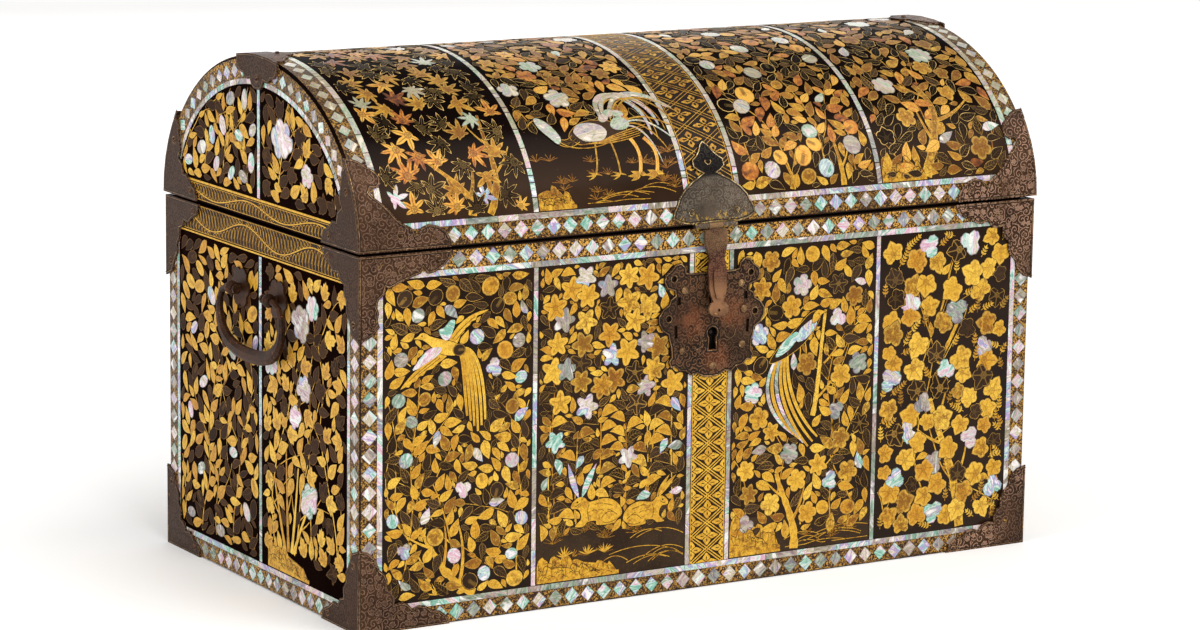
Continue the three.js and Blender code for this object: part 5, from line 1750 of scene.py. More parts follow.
def flying_bird(P, grid, x, y, s, rng, face=1):
    """A small bird on the wing, drawn flying to the left, with a long drooping tail."""
    d = face
    g = lambda a=0.8: (a, 0.15, 0.4)
    for k in range(6):
        st = (x + d * (10 + 0.8 * k) * s, y - (3.5 - 0.5 * k) * s)
        ctl = (x + d * (15 + 2.2 * k) * s, y - (8 - 1.6 * k) * s)
        ct2 = (x + d * (15 + 3.6 * k) * s, y - (32 - 1.0 * k) * s)
        end = (x + d * (18 + 3.1 * k) * s, y - (66 - 4.2 * abs(k - 3)) * s)
        plume(P, grid, "gold", (st, ctl, ct2, end), 1.4 * s, 3.7 * s, 1.8 * s, 0.26 + 0.02 * k, g(0.3 + 0.12 * k))
    up = [(1, 3), (4, 10), (10, 17), (18, 22.5), (28, 26), (36, 26.5), (30, 23.5), (26, 22.5), (25, 19.5), (21, 18.5), (19.5, 15.5), (16, 14), (14.5, 10.5), (11.5, 8.5), (9, 3)]
    dn = [(-6, -2), (-14, -7), (-23, -12), (-32, -19), (-40, -28), (-35, -26.5), (-32, -27), (-29.5, -23.5), (-26, -23), (-23.5, -19.5), (-20, -19), (-17, -15.5), (-12, -14.5), (-7, -10.5), (0, -6)]
    body = [(-29, 9.5), (-25.5, 11), (-22, 13.6), (-18, 13), (-14, 10.4), (-5, 7.5), (4, 5), (11, 1.5), (14.5, -3), (9, -6), (0, -5.5), (-8, -2.5), (-15, 3.5), (-20, 7.4), (-25, 8.8)]
    figure(P, grid, "gold", up, x, y, s, d, 0.40, g(0.7), k=2)
    figure(P, grid, "gold", dn, x, y, s, d, 0.42, g(0.6), k=2)
    strokes(P, "line", [((5, 7), (12, 15), (24, 22)), ((8, 6), (14, 12), (22, 18)), ((-8, -6), (-20, -13), (-32, -22)), ((-6, -7), (-14, -12), (-24, -18))], x, y, s, d, 0.28, 0.48)
    figure(P, grid, "gold", body, x, y, s, d, 0.50, g(0.9), k=3)
    add_shape(P.a("dark"), oval(5.6 * s, 4.8 * s, 14), (x + d * 10.5 * s, y - 2 * s), 0, 0.54, (0.6, 0.8, 0.4))
    figure(P, grid, "pearl", [(-3, 7), (-7, 14), (-2, 16), (3, 21), (7, 20), (5, 13), (2, 7)], x, y, s, d, 0.56, (0.30, 0.3, 0.1), 0, 3)
    figure(P, grid, "pearl", [(-5, 1), (-14, 1), (-22, -5), (-29, -14), (-24, -13), (-14, -8), (-7, -4)], x, y, s, d, 0.56, (0.05, 0.6, 0.1), 0, 3)
    add_shape(P.a("line"), oval(0.55 * s, 0.55 * s, 8), (x - d * 21.4 * s, y + 11.2 * s), 0, 0.60, (0, 0, 0))


def perched_bird(P, grid, x, y, s, rng):
    """A perched bird seen from the side with a shell back and a long trailing tail."""
    for k in range(6):
        mat = "pearl" if k in (0, 2) else "gold"
        st = (x - (14 - k * 1.5) * s, y - (9 - 0.4 * k) * s)
        ctl1 = (x - (29 - 4.2 * k) * s, y - 26 * s)
        ctl2 = (x - (27 - 5.0 * k) * s, y - 50 * s)
        end = (x + (1 + 3.9 * k) * s, y - (78 - 3.2 * abs(k - 3)) * s)
        plume(P, grid, mat, (st, ctl1, ctl2, end), 1.6 * s, 4.1 * s, 1.5 * s, 0.28 + 0.025 * k, (0.4 + 0.08 * k, 0.2, 0.2), rng, 18, 4 if mat == "pearl" else 0)
    figure(P, grid, "dark", [(-22, -14), (-14, -13), (-4, -9), (6, -3), (14, 5), (19, 12), (21, 18), (17, 21), (11, 19), (4, 13), (-4, 6), (-12, -1), (-19, -8)], x, y, s, 1, 0.46, (0.35, 0.6, 0.4))
    figure(P, None, "pearl", [(-17, -10), (-8, -7), (-1, -1), (3, 4), (0, 7), (-6, 4), (-13, -2)], x, y, s, 1, 0.54, (0.30, 0.2, 0.3), 0)
    figure(P, None, "pearl", [(1, 0), (8, 1), (15, 7), (18, 13), (14, 15), (8, 12), (3, 8)], x, y, s, 1, 0.56, (0.62, 0.5, 0.15), 0)
    figure(P, grid, "gold", [(14, 12), (19, 14), (22, 18), (26.5, 19.4), (22, 21), (18, 21.6), (14.5, 18)], x, y, s, 1, 0.58, (0.7, 0.2, 0.3))
    add_shape(P.a("line"), oval(0.55 * s, 0.55 * s, 8), (x + 19.5 * s, y + 18.6 * s), 0, 0.62, (0, 0, 0))
    strokes(P, "gold", [((4, -4), (5, -9), (3, -13)), ((8, -1), (10, -7), (9, -12))], x, y, s, 1, 0.7, 0.4)


def hare(P, grid, x, y, s, d, rng, pearl_ears=False):
    """A crouching hare seen from the side. d = 1 looks right."""
    g = (0.60, 0.45, 0.45)
    body = [(-15, -6), (-18.5, -3), (-17.5, 2), (-13, 6.5), (-6, 9), (1, 8.2), (6, 7.8), (9, 10.5), (13, 11.5), (17, 9.6), (19.6, 6.2), (18.4, 4), (14.5, 3.6), (12.5, 1),
            (12, -3), (15.5, -6.2), (16, -8), (10, -8.2), (7, -5.8), (1, -5.4), (0.5, -8), (-6, -8.8), (-13, -8.4)]
    figure(P, grid, "gold", body, x, y, s, d, 0.34, g)
    strokes(P, "line", [((-3, -4), (-9, 3), (-15, -3)), ((-14, -6), (-9, -8.5), (-4, -6.5)), ((6, 6), (8, 1), (6, -4)), ((-11, 3.5), (-8, 5), (-5, 5)), ((-4, 5.5), (-1, 6.5), (2, 5)),
                        ((-12, -1), (-10, 1), (-8, 1)), ((0, 1), (2, 2.5), (4, 1.5)), ((-5, 0.5), (-3, 2), (-1, 1.5)), ((12.5, 7.5), (14, 6), (16.5, 5.5))], x, y, s, d, 0.3, 0.40)
    add_shape(P.a("line"), oval(0.75 * s, 0.6 * s, 8), (x + d * 14.6 * s, y + 8.2 * s), 0, 0.42, (0, 0, 0))
    if pearl_ears:
        ears = ((11.5, 10.5, PI / 2 + 0.46, 24, 5.0), (13.5, 10.5, PI / 2 - 0.34, 25, 4.6))
    else:
        ears = ((11, 10.5, PI / 2 - 0.78, 21, 4.0), (9.5, 10.5, PI / 2 - 0.60, 19, 3.4))
    for k, (ex, ey, a, L, w_) in enumerate(ears):
        ang = a if d > 0 else PI - a
        p = (x + d * ex * s, y + ey * s)
        sh = leaf_shape(L * s, w_ * s, 0.1, 9, 0.9)
        add_shape(P.a("pearl" if pearl_ears else "gold"), sh, p, ang, 0.44, (0.15 + 0.45 * k, 0.25, 0.15) if pearl_ears else g)
        grid.block(outline(sh, p, ang, 1.1), 100)


def pheasant(P, grid, x, y, s, rng):
    """A tall long-tailed bird stepping left: shell body, curling tail of shell and gold."""
    g = lambda a=0.7: (a, 0.2, 0.4)
    # long plumes curl up over the rump and fall to the right
    for k in range(4):
        pts = ((x + (12 + 2 * k) * s, y + (10 + k) * s), (x + (2 + 8 * k) * s, y + (36 + 2.4 * k) * s), (x + (32 + 8 * k) * s, y + (50 - 2.4 * k) * s),
               (x + (50 + 5 * k) * s, y + (26 - 2 * k) * s), (x + (46 + 8.6 * k) * s, y - (4 - 7.5 * k) * s))
        if k != 2:
            plume(P, grid, "pearl", pts, 2.2 * s, 7.4 * s, 1.2 * s, 0.34 + 0.03 * k, None, rng, 24, 5)
        pts = tuple((a + 4.0 * s, b - 4.2 * s) for a, b in pts)
        plume(P, grid, "gold", pts, 0.7 * s, 2.2 * s, 0.5 * s, 0.32 + 0.03 * k, g(0.5 + 0.1 * k))
    for k in range(4):
        pts = ((x + 22 * s, y + (3 + k) * s), (x + (36 + 3 * k) * s, y + (10 + 3 * k) * s), (x + (44 + 4 * k) * s, y - (4 - 4 * k) * s), (x + (48 + 8 * k) * s, y - (26 - 8 * k) * s))
        plume(P, grid, "gold" if k % 2 else "pearl", pts, 0.8 * s, 2.2 * s, 0.5 * s, 0.30 + 0.02 * k, g(0.4 + 0.1 * k), rng, 16, 0 if k % 2 else 5)
    figure(P, grid, "dark", [(-22, -1), (-14, 7), (-4, 11), (8, 11), (18, 9), (27, 4), (24, -2), (14, -6), (2, -8), (-8, -8), (-16, -8)], x, y, s, 1, 0.46, (0.9, 0.7, 0.4), 0.4)
    # long thin wing feathers
    for k in range(5):
        line = bez((x - (8 - 3 * k) * s, y - (7.5 - 0.2 * k) * s), (x + 10 * s, y - (10.5 - 1.9 * k) * s), (x + (36 + 2 * k) * s, y - (4 - 2.2 * k) * s), n=12)
        add_ribbon(P.a("gold"), line, tapered(line, 0.4 * s, 0.3 * s, 1.1 * s), 0.52 + 0.01 * k, g(0.6))
        grid_block_ribbon(grid, line, 2.0 * s, 100)
    figure(P, None, "pearl", [(-17, 2), (-12, 8), (-3, 9.5), (6, 7), (10, 1), (5, -5.5), (-4, -6.5), (-12, -5)], x, y, s, 1, 0.56, (0.62, 0.25, 0.10), 0)
    figure(P, None, "pearl", [(15, 6), (20, 12), (28, 12), (31, 6), (26, 2), (18, 2)], x, y, s, 1, 0.57, (0.34, 0.7, 0.2), 0)
    for dx, dy, a in ((12, 13, 0.6), (18, 17, 0.3), (25, 16, -0.2)):
        add_shape(P.a("pearl"), oval(5.2 * s, 3.5 * s, 12), (x + dx * s, y + dy * s), a, 0.55, (rng.random(), rng.random(), 0.3))
    # neck dips and rises to the head at the far left
    neck = bez((x - 17 * s, y - 3 * s), (x - 26 * s, y - 10 * s), (x - 33 * s, y - 6 * s), (x - 38 * s, y + 4 * s), n=12)
    add_ribbon(P.a("dark"), neck, tapered(neck, 8.0 * s, 3.6 * s), 0.45, (0.4, 0.8, 0.4), 0.0, spine=True)
    for o in (-1, 1):
        L_, R_ = ribbon_pts(neck, tapered(neck, 7.4 * s, 3.2 * s))
        add_ribbon(P.a("gold"), L_ if o > 0 else R_, 0.4, 0.52, g(0.6))
    grid_block_ribbon(grid, neck, tapered(neck, 8 * s, 4 * s), 100)
    figure(P, grid, "pearl", [(-33, -7), (-29, -3), (-31, 5), (-36, 13), (-42, 17), (-45, 15), (-44, 8), (-39, 0)], x, y, s, 1, 0.56, (0.26, 0.3, 0.3), 0.4)
    add_ribbon(P.a("gold"), bez((x - 44 * s, y + 15 * s), (x - 48 * s, y + 14 * s), (x - 51 * s, y + 10.5 * s), n=5), 0.9 * s, 0.54, g())
    add_ribbon(P.a("gold"), bez((x - 31 * s, y - 5 * s), (x - 25 * s, y - 12 * s), (x - 8 * s, y - 13 * s), (x + 6 * s, y - 9 * s), n=10), 0.5 * s, 0.6, g())
    # legs: two slim, two stout, all with spread claws
    for lx, kx, fx, fy, big in ((-2, -5, -9, -32, 0), (10, 11, 11, -33, 0), (27, 31, 27, -34, 1), (38, 45, 41, -34, 1)):
        leg = bez((x + lx * s, y - 6 * s), (x + kx * s, y - 14 * s), (x + (kx + 1) * s, y - 20 * s), (x + fx * s, y + fy * s), n=9)
        wl = tapered(leg, (3.4 if big else 1.2) * s, (3.0 if big else 1.2) * s, (2.2 if big else 0.9) * s)
        add_ribbon(P.a("orange" if big else "gold"), leg, wl, 0.36, (0.9, 0.3, 0.4), 0.0 if big else -1.0, spine=True)
        grid_block_ribbon(grid, leg, wl, 100, 1.5)
        foot = (x + fx * s, y + (fy + 0.5) * s)
        for a, L in ((PI + 0.50, 10), (PI + 0.10, 11), (PI - 0.32, 8), (-0.30, 6)):
            sh = leaf_shape(L * s * (1.0 if big else 0.85), (3.6 if big else 1.4) * s, 0.25, 7, 0.6)
            add_shape(P.a("gold"), sh, foot, a, 0.42, g(0.65))
            grid.block(outline(sh, foot, a, 1.1), 100)


def tufts(P, spots, rng, L=6.0, n=7):
    """Low tufts of fine grass."""
    for x, y in spots:
        for k in range(n):
            a = PI * (0.10 + 0.80 * k / (n - 1)) + rng.normal(0, 0.1)
            l = L * rng.uniform(0.6, 1.1)
            line = bez((x, y), (x + 0.6 * l * math.cos(a), y + 0.6 * l * math.sin(a)), (x + l * math.cos(a) * 1.15, y + l * math.sin(a) * 0.86), n=4)
            add_ribbon(P.a("gold"), line, 0.32, 0.16, (rng.random() * 0.5, 0.8, 0))


# ------------------------------------------------------------------ the faces
def frame_bands(P, rng, hu, v0, v1, top=True, nv_side=1, light=(0.75, 0.4)):
    """Nashiji border, shell strips and lozenges of a flat face."""
    t_top, t_rest = (light[0], 0, 0), (light[1], 0, 0)
    band(P, "nashiji", -hu + 0.8, hu - 0.8, v0 + 0.8, v0 + 15.2, 0.05, t_rest, 1, 12)
    if top:
        band(P, "nashiji", -hu + 0.8, hu - 0.8, v1 - 15.2, v1 - 0.8, 0.05, t_top, 1, 12)
    for s in (-1, 1):
        a, b = sorted((s * (hu - 0.8), s * (hu - 14.4)))
        band(P, "nashiji", a, b, v0 + 15.2, v1 - (15.2 if top else 18), 0.05, t_rest, 8, 1)
    diamond_row(P, (-hu + 14, v0 + 6.3), (hu - 14, v0 + 6.3), rng)
    if top:
        diamond_row(P, (-hu + 14, v1 - 6.3), (hu - 14, v1 - 6.3), rng)
    for s in (-1, 1):
        diamond_row(P, (s * (hu - 6.2), v0 + 12), (s * (hu - 6.2), v1 - 12), rng)


def lattice_gold(P, u0, u1, v0, v1, rng, z0=None):
    cx = (u0 + u1) / 2
    hx = 11.3
    lattice(P, u0, u1, v0, v1, rng, (cx, cx + hx), hx, 16.6, 0.71, 0.74, 0.98, (u0 + 0.45, u1 - 0.45), 0.030, z0)


def lattice_dark(P, u0, u1, v0, v1, rng):
    cx = (u0 + u1) / 2
    hx = 14.4
    lattice(P, u0, u1, v0, v1, rng, (cx - hx / 2, cx + hx / 2), hx, 18.6, 0.60, 0.38, 1.2, (u0 + 0.5, u1 - 0.5), 0.085)


def ground_lines(P, u0, u1, v0, v1, rng, n=9):
    """Low banks drawn in fine gold lines."""
    for k in range(n):
        a = rng.uniform(u0, u1 - 20)
        b = min(u1 - 1, a + rng.uniform(18, 45))
        z = rng.uniform(v0, v1)
        line = bez((a, z - 3), ((a + b) / 2, z + rng.uniform(2, 7)), (b, z - rng.uniform(0, 4)), n=10)
        line[:, 1] = np.clip(line[:, 1], v0 + 0.5, v1 + 6)
        add_ribbon(P.a("gold"), line, 0.42, 0.10, (0.4, 0.5, 0))


def grass(P, x, y, rng, n=9, L=9, mat="gold"):
    for k in range(n):
        a = PI * (0.12 + 0.76 * k / (n - 1)) + rng.normal(0, 0.08)
        feather(P, mat, (x, y), a, L * rng.uniform(0.7, 1.1), 0.95, 0.2, 0.2, (0.6, 0.2, 0), 5)


def reeds(P, g, u0, u1, v_lo, v_hi, n, rng):
    """Upright stems with half-round leaves on alternate sides, flat side down."""
    for k in range(n):
        x = u0 + (u1 - u0) * (k + 0.5) / n + rng.uniform(-1.2, 1.2)
        top = v_hi - rng.uniform(0, 12)
        zs = np.arange(v_lo, top, 3.0)
        free = [z for z in zs if g.g[int((x - g.u0) / g.res), int((z - g.v0) / g.res)] < 90]
        if len(free) < 4:
            continue
        add_ribbon(P.a("gold"), np.array([(x + 0.7 * math.sin(z * 0.06 + k), z) for z in free]), 0.75, 0.09, tint_of(rng, "gold"))
        sd = 1
        for z in np.arange(free[0] + 2, top, 4.4):
            sd = -sd
            tilt = rng.uniform(0.10, 0.34)
            ang = tilt if sd > 0 else PI - tilt
            put(P, g, "half", (x + sd * 0.6, z), ang, rng.uniform(11.0, 13.0), rng, 0.24, pick(rng, {"gold": 7.0, "dark": 3.0}))


def paint_front(rng, face="front", pictures=True):
    P = Painter(face)
    hu = HW
    lock = face == "front"                        # the plate's pocket stays clear of ornament
    frame_bands(P, rng, hu, 0.0, HB)
    for v in (13.5, HB - 13.5):
        pearl_strip(P, (-hu + 14.4, v), (hu - 14.4, v), 3.4, rng, 0.18)
    xs = (227.0, 123.0, 14.3)
    for x in xs:
        for s in (-1, 1):
            for a, b in (((15.4, 137.0), (194.8, HB - 15.4)) if lock and x < 20 else ((15.4, HB - 15.4),)):
                pearl_strip(P, (s * x, a), (s * x, b), 3.4 if x > 200 else 2.8, rng, 0.18)
    for a, b in (((15.4, 137.0), (194.8, HB - 15.4)) if lock else ((15.4, HB - 15.4),)):
        lattice_gold(P, -12.4, 12.4, a, b, rng, 15.4)
    panels = [(-225.0, -125.0), (-121.0, -16.2), (16.2, 121.0), (125.0, 225.0)]
    v0, v1 = 15.6, HB - 15.6
    clear = (lambda U, V: ~(((np.abs(U) < 28.5) & (V > 141) & (V < 183)) | ((np.abs(U) < 25.5) & (V > 141) & (V < 195.5))
                            | (np.hypot(np.abs(U) - 27.6, V - 194) < 4.6) | (np.hypot(np.abs(U) - 31, V - 169.8) < 5.2))) if lock else None
    for k, (u0, u1) in enumerate(panels):
        g = Grid(u0, u1, v0, v1, allowed=clear)
        if k == 0:
            trunk(P, g, [(u0 + 62, v0 + 0.8), (u0 + 42, v0 + 8), (u0 + 34, v0 + 30), (u0 + 24, v0 + 44)], 5.0, 2.2, rng,
                  branches=((0.5, -0.9, 26, 2.2), (0.75, 0.7, 20, 1.8), (0.25, -1.2, 38, 2.6)))
            grass(P, u0 + 38, v0 + 2.5, rng)
            if pictures:
                flying_bird(P, g, u0 + 42, v0 + 150, 0.78, rng)
            grow_panel(P, g, rng, S_FRUIT, (u0, u1, v0, v1))
        elif k == 1:
            band(P, "haze", u0 + 0.1, u1 - 0.1, v0 + 0.1, v0 + 46, 0.03, (0, 0, 0), 6, 12)
            rock(P, g, u0 + 0.5, u0 + 58, v0 + 0.4, 19, rng)
            ground_lines(P, u0 + 40, u1, v0 + 4, v0 + 26, rng, 10)
            tufts(P, [(rng.uniform(u0 + 8, u1 - 6), rng.uniform(v0 + 14, v0 + 30)) for _ in range(12)], rng, 6.5)
            for x in (u0 + 20, u0 + 36, u0 + 48):
                grass(P, x, v0 + 15, rng, 7, 7)
            if pictures:
                hare(P, g, u0 + 42, v0 + 40, 0.95, -1, rng, True)
                hare(P, g, u0 + 76, v0 + 36, 0.85, 1, rng, False)
            spread_shell(P, g, rng, (("star5", 2, 13, 15), ("leaf", 3, 9, 12)), (u0, u1, v0 + 54, v0 + 96))
            reeds(P, g, u0 + 1, u1 - 1, v0 + 36, v0 + 104, 6, rng)
            grow_panel(P, g, rng, S_BELL, (u0, u1, v0, v1))
        elif k == 2:
            band(P, "haze", u0 + 0.1, u1 - 0.1, v0 + 0.1, v0 + 24, 0.03, (0, 0, 0), 3, 12)
            rock(P, g, u0 + 0.5, u0 + 38, v0 + 0.4, 30, rng)
            ground_lines(P, u0 + 40, u1, v0 + 2, v0 + 12, rng, 8)
            tufts(P, [(rng.uniform(u0 + 44, u1 - 6), rng.uniform(v0 + 3, v0 + 12)) for _ in range(6)], rng, 6)
            trunk(P, g, [(u0 + 48, v0 + 1), (u0 + 50, v0 + 20), (u0 + 38, v0 + 34), (u0 + 34, v0 + 50)], 6, 2.6, rng,
                  branches=((0.35, -0.9, 24, 2.2), (0.7, 0.6, 18, 1.8)))
            trunk(P, g, [(u0 + 60, v0 + 84), (u0 + 64, v0 + 100), (u0 + 64, v0 + 120), (u0 + 68, v0 + 150)], 3.6, 1.8, rng,
                  branches=((0.2, -0.8, 24, 1.8), (0.55, -0.9, 22, 1.6)))
            if pictures:
                perched_bird(P, g, u0 + 46, v0 + 132, 0.86, rng)
            grow_panel(P, g, rng, S_BLOOM, (u0, u1, v0, v1))
        else:
            trunk(P, g, [(u0 + 66, v0 + 1), (u0 + 62, v0 + 40), (u0 + 48, v0 + 60), (u0 + 40, v0 + 86)], 6.5, 3.4, rng,
                  branches=((0.3, -0.8, 26, 2.6), (0.6, 0.9, 24, 2.2), (0.85, -0.9, 28, 2.0)))
            trunk(P, g, [(u0 + 46, v0 + 108), (u0 + 52, v0 + 118), (u0 + 58, v0 + 128), (u0 + 62, v0 + 138)], 3.0, 2.0, rng)
            grow_panel(P, g, rng, S_IVY, (u0, u1, v0, v1))
    return P


def scroll_band(P, u0, u1, v0, v1, rng):
    """A wavy gold line with slim coil loops above and below it, on brown."""
    band(P, "coil", u0, u1, v0, v1, 0.05, (0, 0, 0), 1, 10)
    mid, amp = (v0 + v1) / 2, (v1 - v0) * 0.31
    wave = lambda x: mid + amp * math.sin((x - u0) * 2 * PI / 92.0 + 0.6)
    xs = np.arange(u0 + 1, u1 - 1, 3.0)
    add_ribbon(P.a("gold"), np.array([(x, wave(x)) for x in xs]), 0.72, 0.16, (0.6, 0.1, 0))
    for z in (v0 + 0.5, v1 - 0.5):
        add_ribbon(P.a("gold"), np.array([(x, z) for x in xs]), 0.35, 0.12, (0.4, 0.3, 0))
    x = u0 + 3.4
    while x < u1 - 5:
        for lo, hi, sl in ((v0 + 0.9, wave(x) - 0.8, 1.0), (wave(x) + 0.8, v1 - 0.9, -1.0)):
            H = hi - lo
            if H > 1.6:
                # a slim open loop, as a coil of wire seen from the side
                w = 1.7
                cx, cz = x + sl * 0.12 * H, (lo + hi) / 2
                th = np.linspace(-0.5, 1.5 * PI, 12) + (0 if sl > 0 else PI)
                line = np.stack([cx + w * np.cos(th) + sl * 0.16 * H * np.sin(th) * 0.9, cz + H / 2 * np.sin(th)], -1)
                line[:, 0] = np.clip(line[:, 0], u0 + 0.4, u1 - 0.4)
                add_ribbon(P.a("gold"), line, 0.38, 0.12, (0.2 + 0.5 * rng.random(), 0.5, 0))
        x += 4.1


def paint_end(rng, face):
    P = Painter(face)
    hu = HD
    s_front = 1 if face == "left" else -1      # sign of u towards the front of the coffer
    band(P, "nashiji", -hu + 0.8, hu - 0.8, 0.8, 15.2, 0.05, (0.4, 0, 0), 1, 8)
    for s in (-1, 1):
        a, b = sorted((s * (hu - 0.8), s * (hu - 15.4)))
        band(P, "nashiji", a, b, 15.2, 204.4, 0.05, (0.35, 0, 0), 8, 1)
        diamond_row(P, (s * (hu - 6.3), 12), (s * (hu - 6.3), HB - 14), rng)
        pearl_strip(P, (s * (hu - 13.7), 15.4), (s * (hu - 13.7), 204.0), 3.2, rng, 0.18)
    diamond_row(P, (-hu + 12, 6.3), (hu - 12, 6.3), rng)
    pearl_strip(P, (-hu + 13, 13.5), (hu - 13, 13.5), 3.4, rng, 0.18)
    pearl_strip(P, (0, 15.6), (0, 204.2), 3.2, rng, 0.18)
    scroll_band(P, -hu + 0.8, hu - 0.8, 206.4, 223.4, rng)
    add_ribbon(P.a("gold"), np.array([(x, 205.4) for x in np.linspace(-hu + 2, hu - 2, 12)]), 0.95, 0.14, (0.7, 0.2, 0))
    for s in (-1, 1):
        a, b = sorted((s * 2.2, s * (hu - 15.8)))
        g = Grid(a, b, 15.8, 203.6)
        if s == s_front:
            rock(P, g, a + (8 if s > 0 else 40), a + (62 if s > 0 else 94), 16.0, 20, rng)
            x0 = a + (36 if s > 0 else 66)
            for k, (dx, top) in enumerate(((-20, 74), (-4, 92), (12, 84), (24, 60))):
                trunk(P, g, [(x0 + dx * 0.25, 30), (x0 + dx * 0.6, 48), (x0 + dx, top)], 3.2, 1.3, rng, n=9, branches=((0.6, 0.6 * (-1) ** k, 14, 1.4),))
            for (dx, dz, R) in ((18, 160, 12), (34, 172, 9), (-26, 128, 9), (22, 120, 9), (8, 100, 8), (-30, 74, 11), (28, 52, 12), (-12, 186, 8)):
                sh = cloud(R, rng, 6)
                p, an = (x0 + dx * (1 if s > 0 else 1) * 0.9, 15.8 + dz * 0.98), rng.uniform(0, 6.28)
                if g.fit(outline(sh, p, an, 1.02), 0.25) is not None:
                    add_shape(P.a("pearl"), sh, p, an, 0.26, (rng.random(), rng.random(), rng.random() * 0.6))
                    g.mark()
            grow_panel(P, g, rng, S_ENDPEONY, (a, b, 15.8, 203.6))
        else:
            grow_panel(P, g, rng, S_ENDLEAF, (a, b, 15.8, 203.6))
    return P


def arch(off, n=48, t0=0.0, t1=PI):
    t = np.linspace(t0, t1, n)
    return np.stack([-(A - off) * np.cos(t), ZL + (B - off) * np.sin(t)], -1)


def arch_points(off, pitch, v_low):
    """Evenly spaced points with their tangent along the arch, above height v_low."""
    p = arch(off, 600)
    s = np.concatenate([[0], np.cumsum(np.hypot(*np.diff(p, axis=0).T))])
    n = int(s[-1] / pitch)
    at = (np.arange(n) + 0.5) * s[-1] / n
    x, z = np.interp(at, s, p[:, 0]), np.interp(at, s, p[:, 1])
    tx, tz = np.interp(at + 0.5, s, p[:, 0]) - np.interp(at - 0.5, s, p[:, 0]), np.interp(at + 0.5, s, p[:, 1]) - np.interp(at - 0.5, s, p[:, 1])
    return [((a, b), math.atan2(d, c)) for a, b, c, d in zip(x, z, tx, tz) if b > v_low]


def curved_band(P, mat, off0, off1, h, tint, v_low, n=40):
    """Crescent strip of the end face between two offsets from the arch."""
    t0 = math.asin(min(1.0, max(0.0, (v_low - ZL) / (B - off1))))
    o, i = arch(off0, n, t0, PI - t0), arch(off1, n, t0, PI - t0)
    pts = np.concatenate([o, i])
    faces = [(k + 1, k, n + k, n + k + 1) for k in range(n - 1)]
    faces = [f[::-1] for f in faces]
    acc = P.a(mat)
    N = len(pts)
    pts3 = np.empty((2 * N, 3))
    pts3[:N, :2] = pts3[N:, :2] = pts
    pts3[:N, 2], pts3[N:, 2] = h, -0.12
    acc.uvh.append(pts3)
    acc.e.append(np.zeros(2 * N))
    acc.q.append(np.concatenate([np.concatenate([pts, np.full((N, 1), -1.0)], 1)] * 2))
    acc.tint.append(np.broadcast_to(np.asarray(tint, float), (2 * N, 3)))
    b = acc.n
    area2 = lambda f: sum(pts[f[k]][0] * pts[f[(k + 1) % 4]][1] - pts[f[(k + 1) % 4]][0] * pts[f[k]][1] for k in range(4))
    for f in faces:
        if area2(f) < 0:
            f = f[::-1]
        acc.loops.extend(b + k for k in f)
        acc.totals.append(4)
        acc.loops.extend(b + N + k for k in f[::-1])
        acc.totals.append(4)
    ring = list(range(n)) + list(range(2 * n - 1, n - 1, -1))
    a2 = sum(pts[ring[k]][0] * pts[ring[(k + 1) % N]][1] - pts[ring[(k + 1) % N]][0] * pts[ring[k]][1] for k in range(N))
    if a2 < 0:
        ring = ring[::-1]
    for k in range(N):
        p, q = ring[k], ring[(k + 1) % N]
        acc.loops.extend((b + p, b + N + p, b + N + q, b + q))
        acc.totals.append(4)
    acc.n += 2 * N


def paint_lid_end(rng, face):
    P = Painter(face)
    s_front = 1 if face == "lidleft" else -1
    zb = 238.6
    scroll_band(P, -121, 121, 227.0, zb - 1.0, rng)
    line_hw = 118.0
    add_ribbon(P.a("gold"), np.array([(x, zb) for x in np.linspace(-line_hw, line_hw, 12)]), 1.3, 0.14, (0.7, 0.2, 0))
    curved_band(P, "nashiji", 1.8, 15.2, 0.05, (0.35, 0, 0), zb)
    for p, a in arch_points(8.6, 10.6, zb + 2):
        diamond(P, p, a, 4.6, 4.4, rng, 0.18)
    t0 = math.asin((zb + 1 - ZL) / (B - 15.6))
    pearl_path(P, arch(15.6, 70, t0, PI - t0), 3.2, rng, 0.18)
    pearl_strip(P, (0, zb + 1.0), (0, ZL + B - 17.5), 3.2, rng, 0.18)
    inside = lambda U, V: ((U / (A - 17.8)) ** 2 + ((V - ZL) / (B - 17.8)) ** 2 < 1)
    for s in (-1, 1):
        a, b = sorted((s * 2.2, s * 112))
        g = Grid(a, b, zb + 1.2, ZL + B - 17.8, allowed=inside)
        if s == s_front:
            for (dx, dz, R) in ((32, 40, 14), (64, 24, 7.5)):
                sh = cloud(R, rng, 6)
                p = (s * dx, zb + dz)
                if g.fit(outline(sh, p, 0.4, 1.02), 0.1) is not None:
                    add_shape(P.a("pearl"), sh, p, 0.4, 0.24, (rng.random(), rng.random(), 0.2))
                    g.mark()
            sh = cloud(11, rng, 8)
            p = (s * 50, zb + 10.5)
            if g.fit(outline(sh, p, 0.4, 1.02), 0.1) is not None:
                add_shape(P.a("gold"), sh, p, 0.4, 0.2, (0.9, 0.3, 0.2))
                g.mark()
            st = dict(S_ENDPEONY)
            st["stems"], st["ground"] = 3, 0
            grow_panel(P, g, rng, st, (a, b, zb + 1.2, ZL + B - 17.8))
        else:
            grow_panel(P, g, rng, dict(S_ENDLEAF, stems=4), (a, b, zb + 1.2, ZL + B - 17.8))
    return P


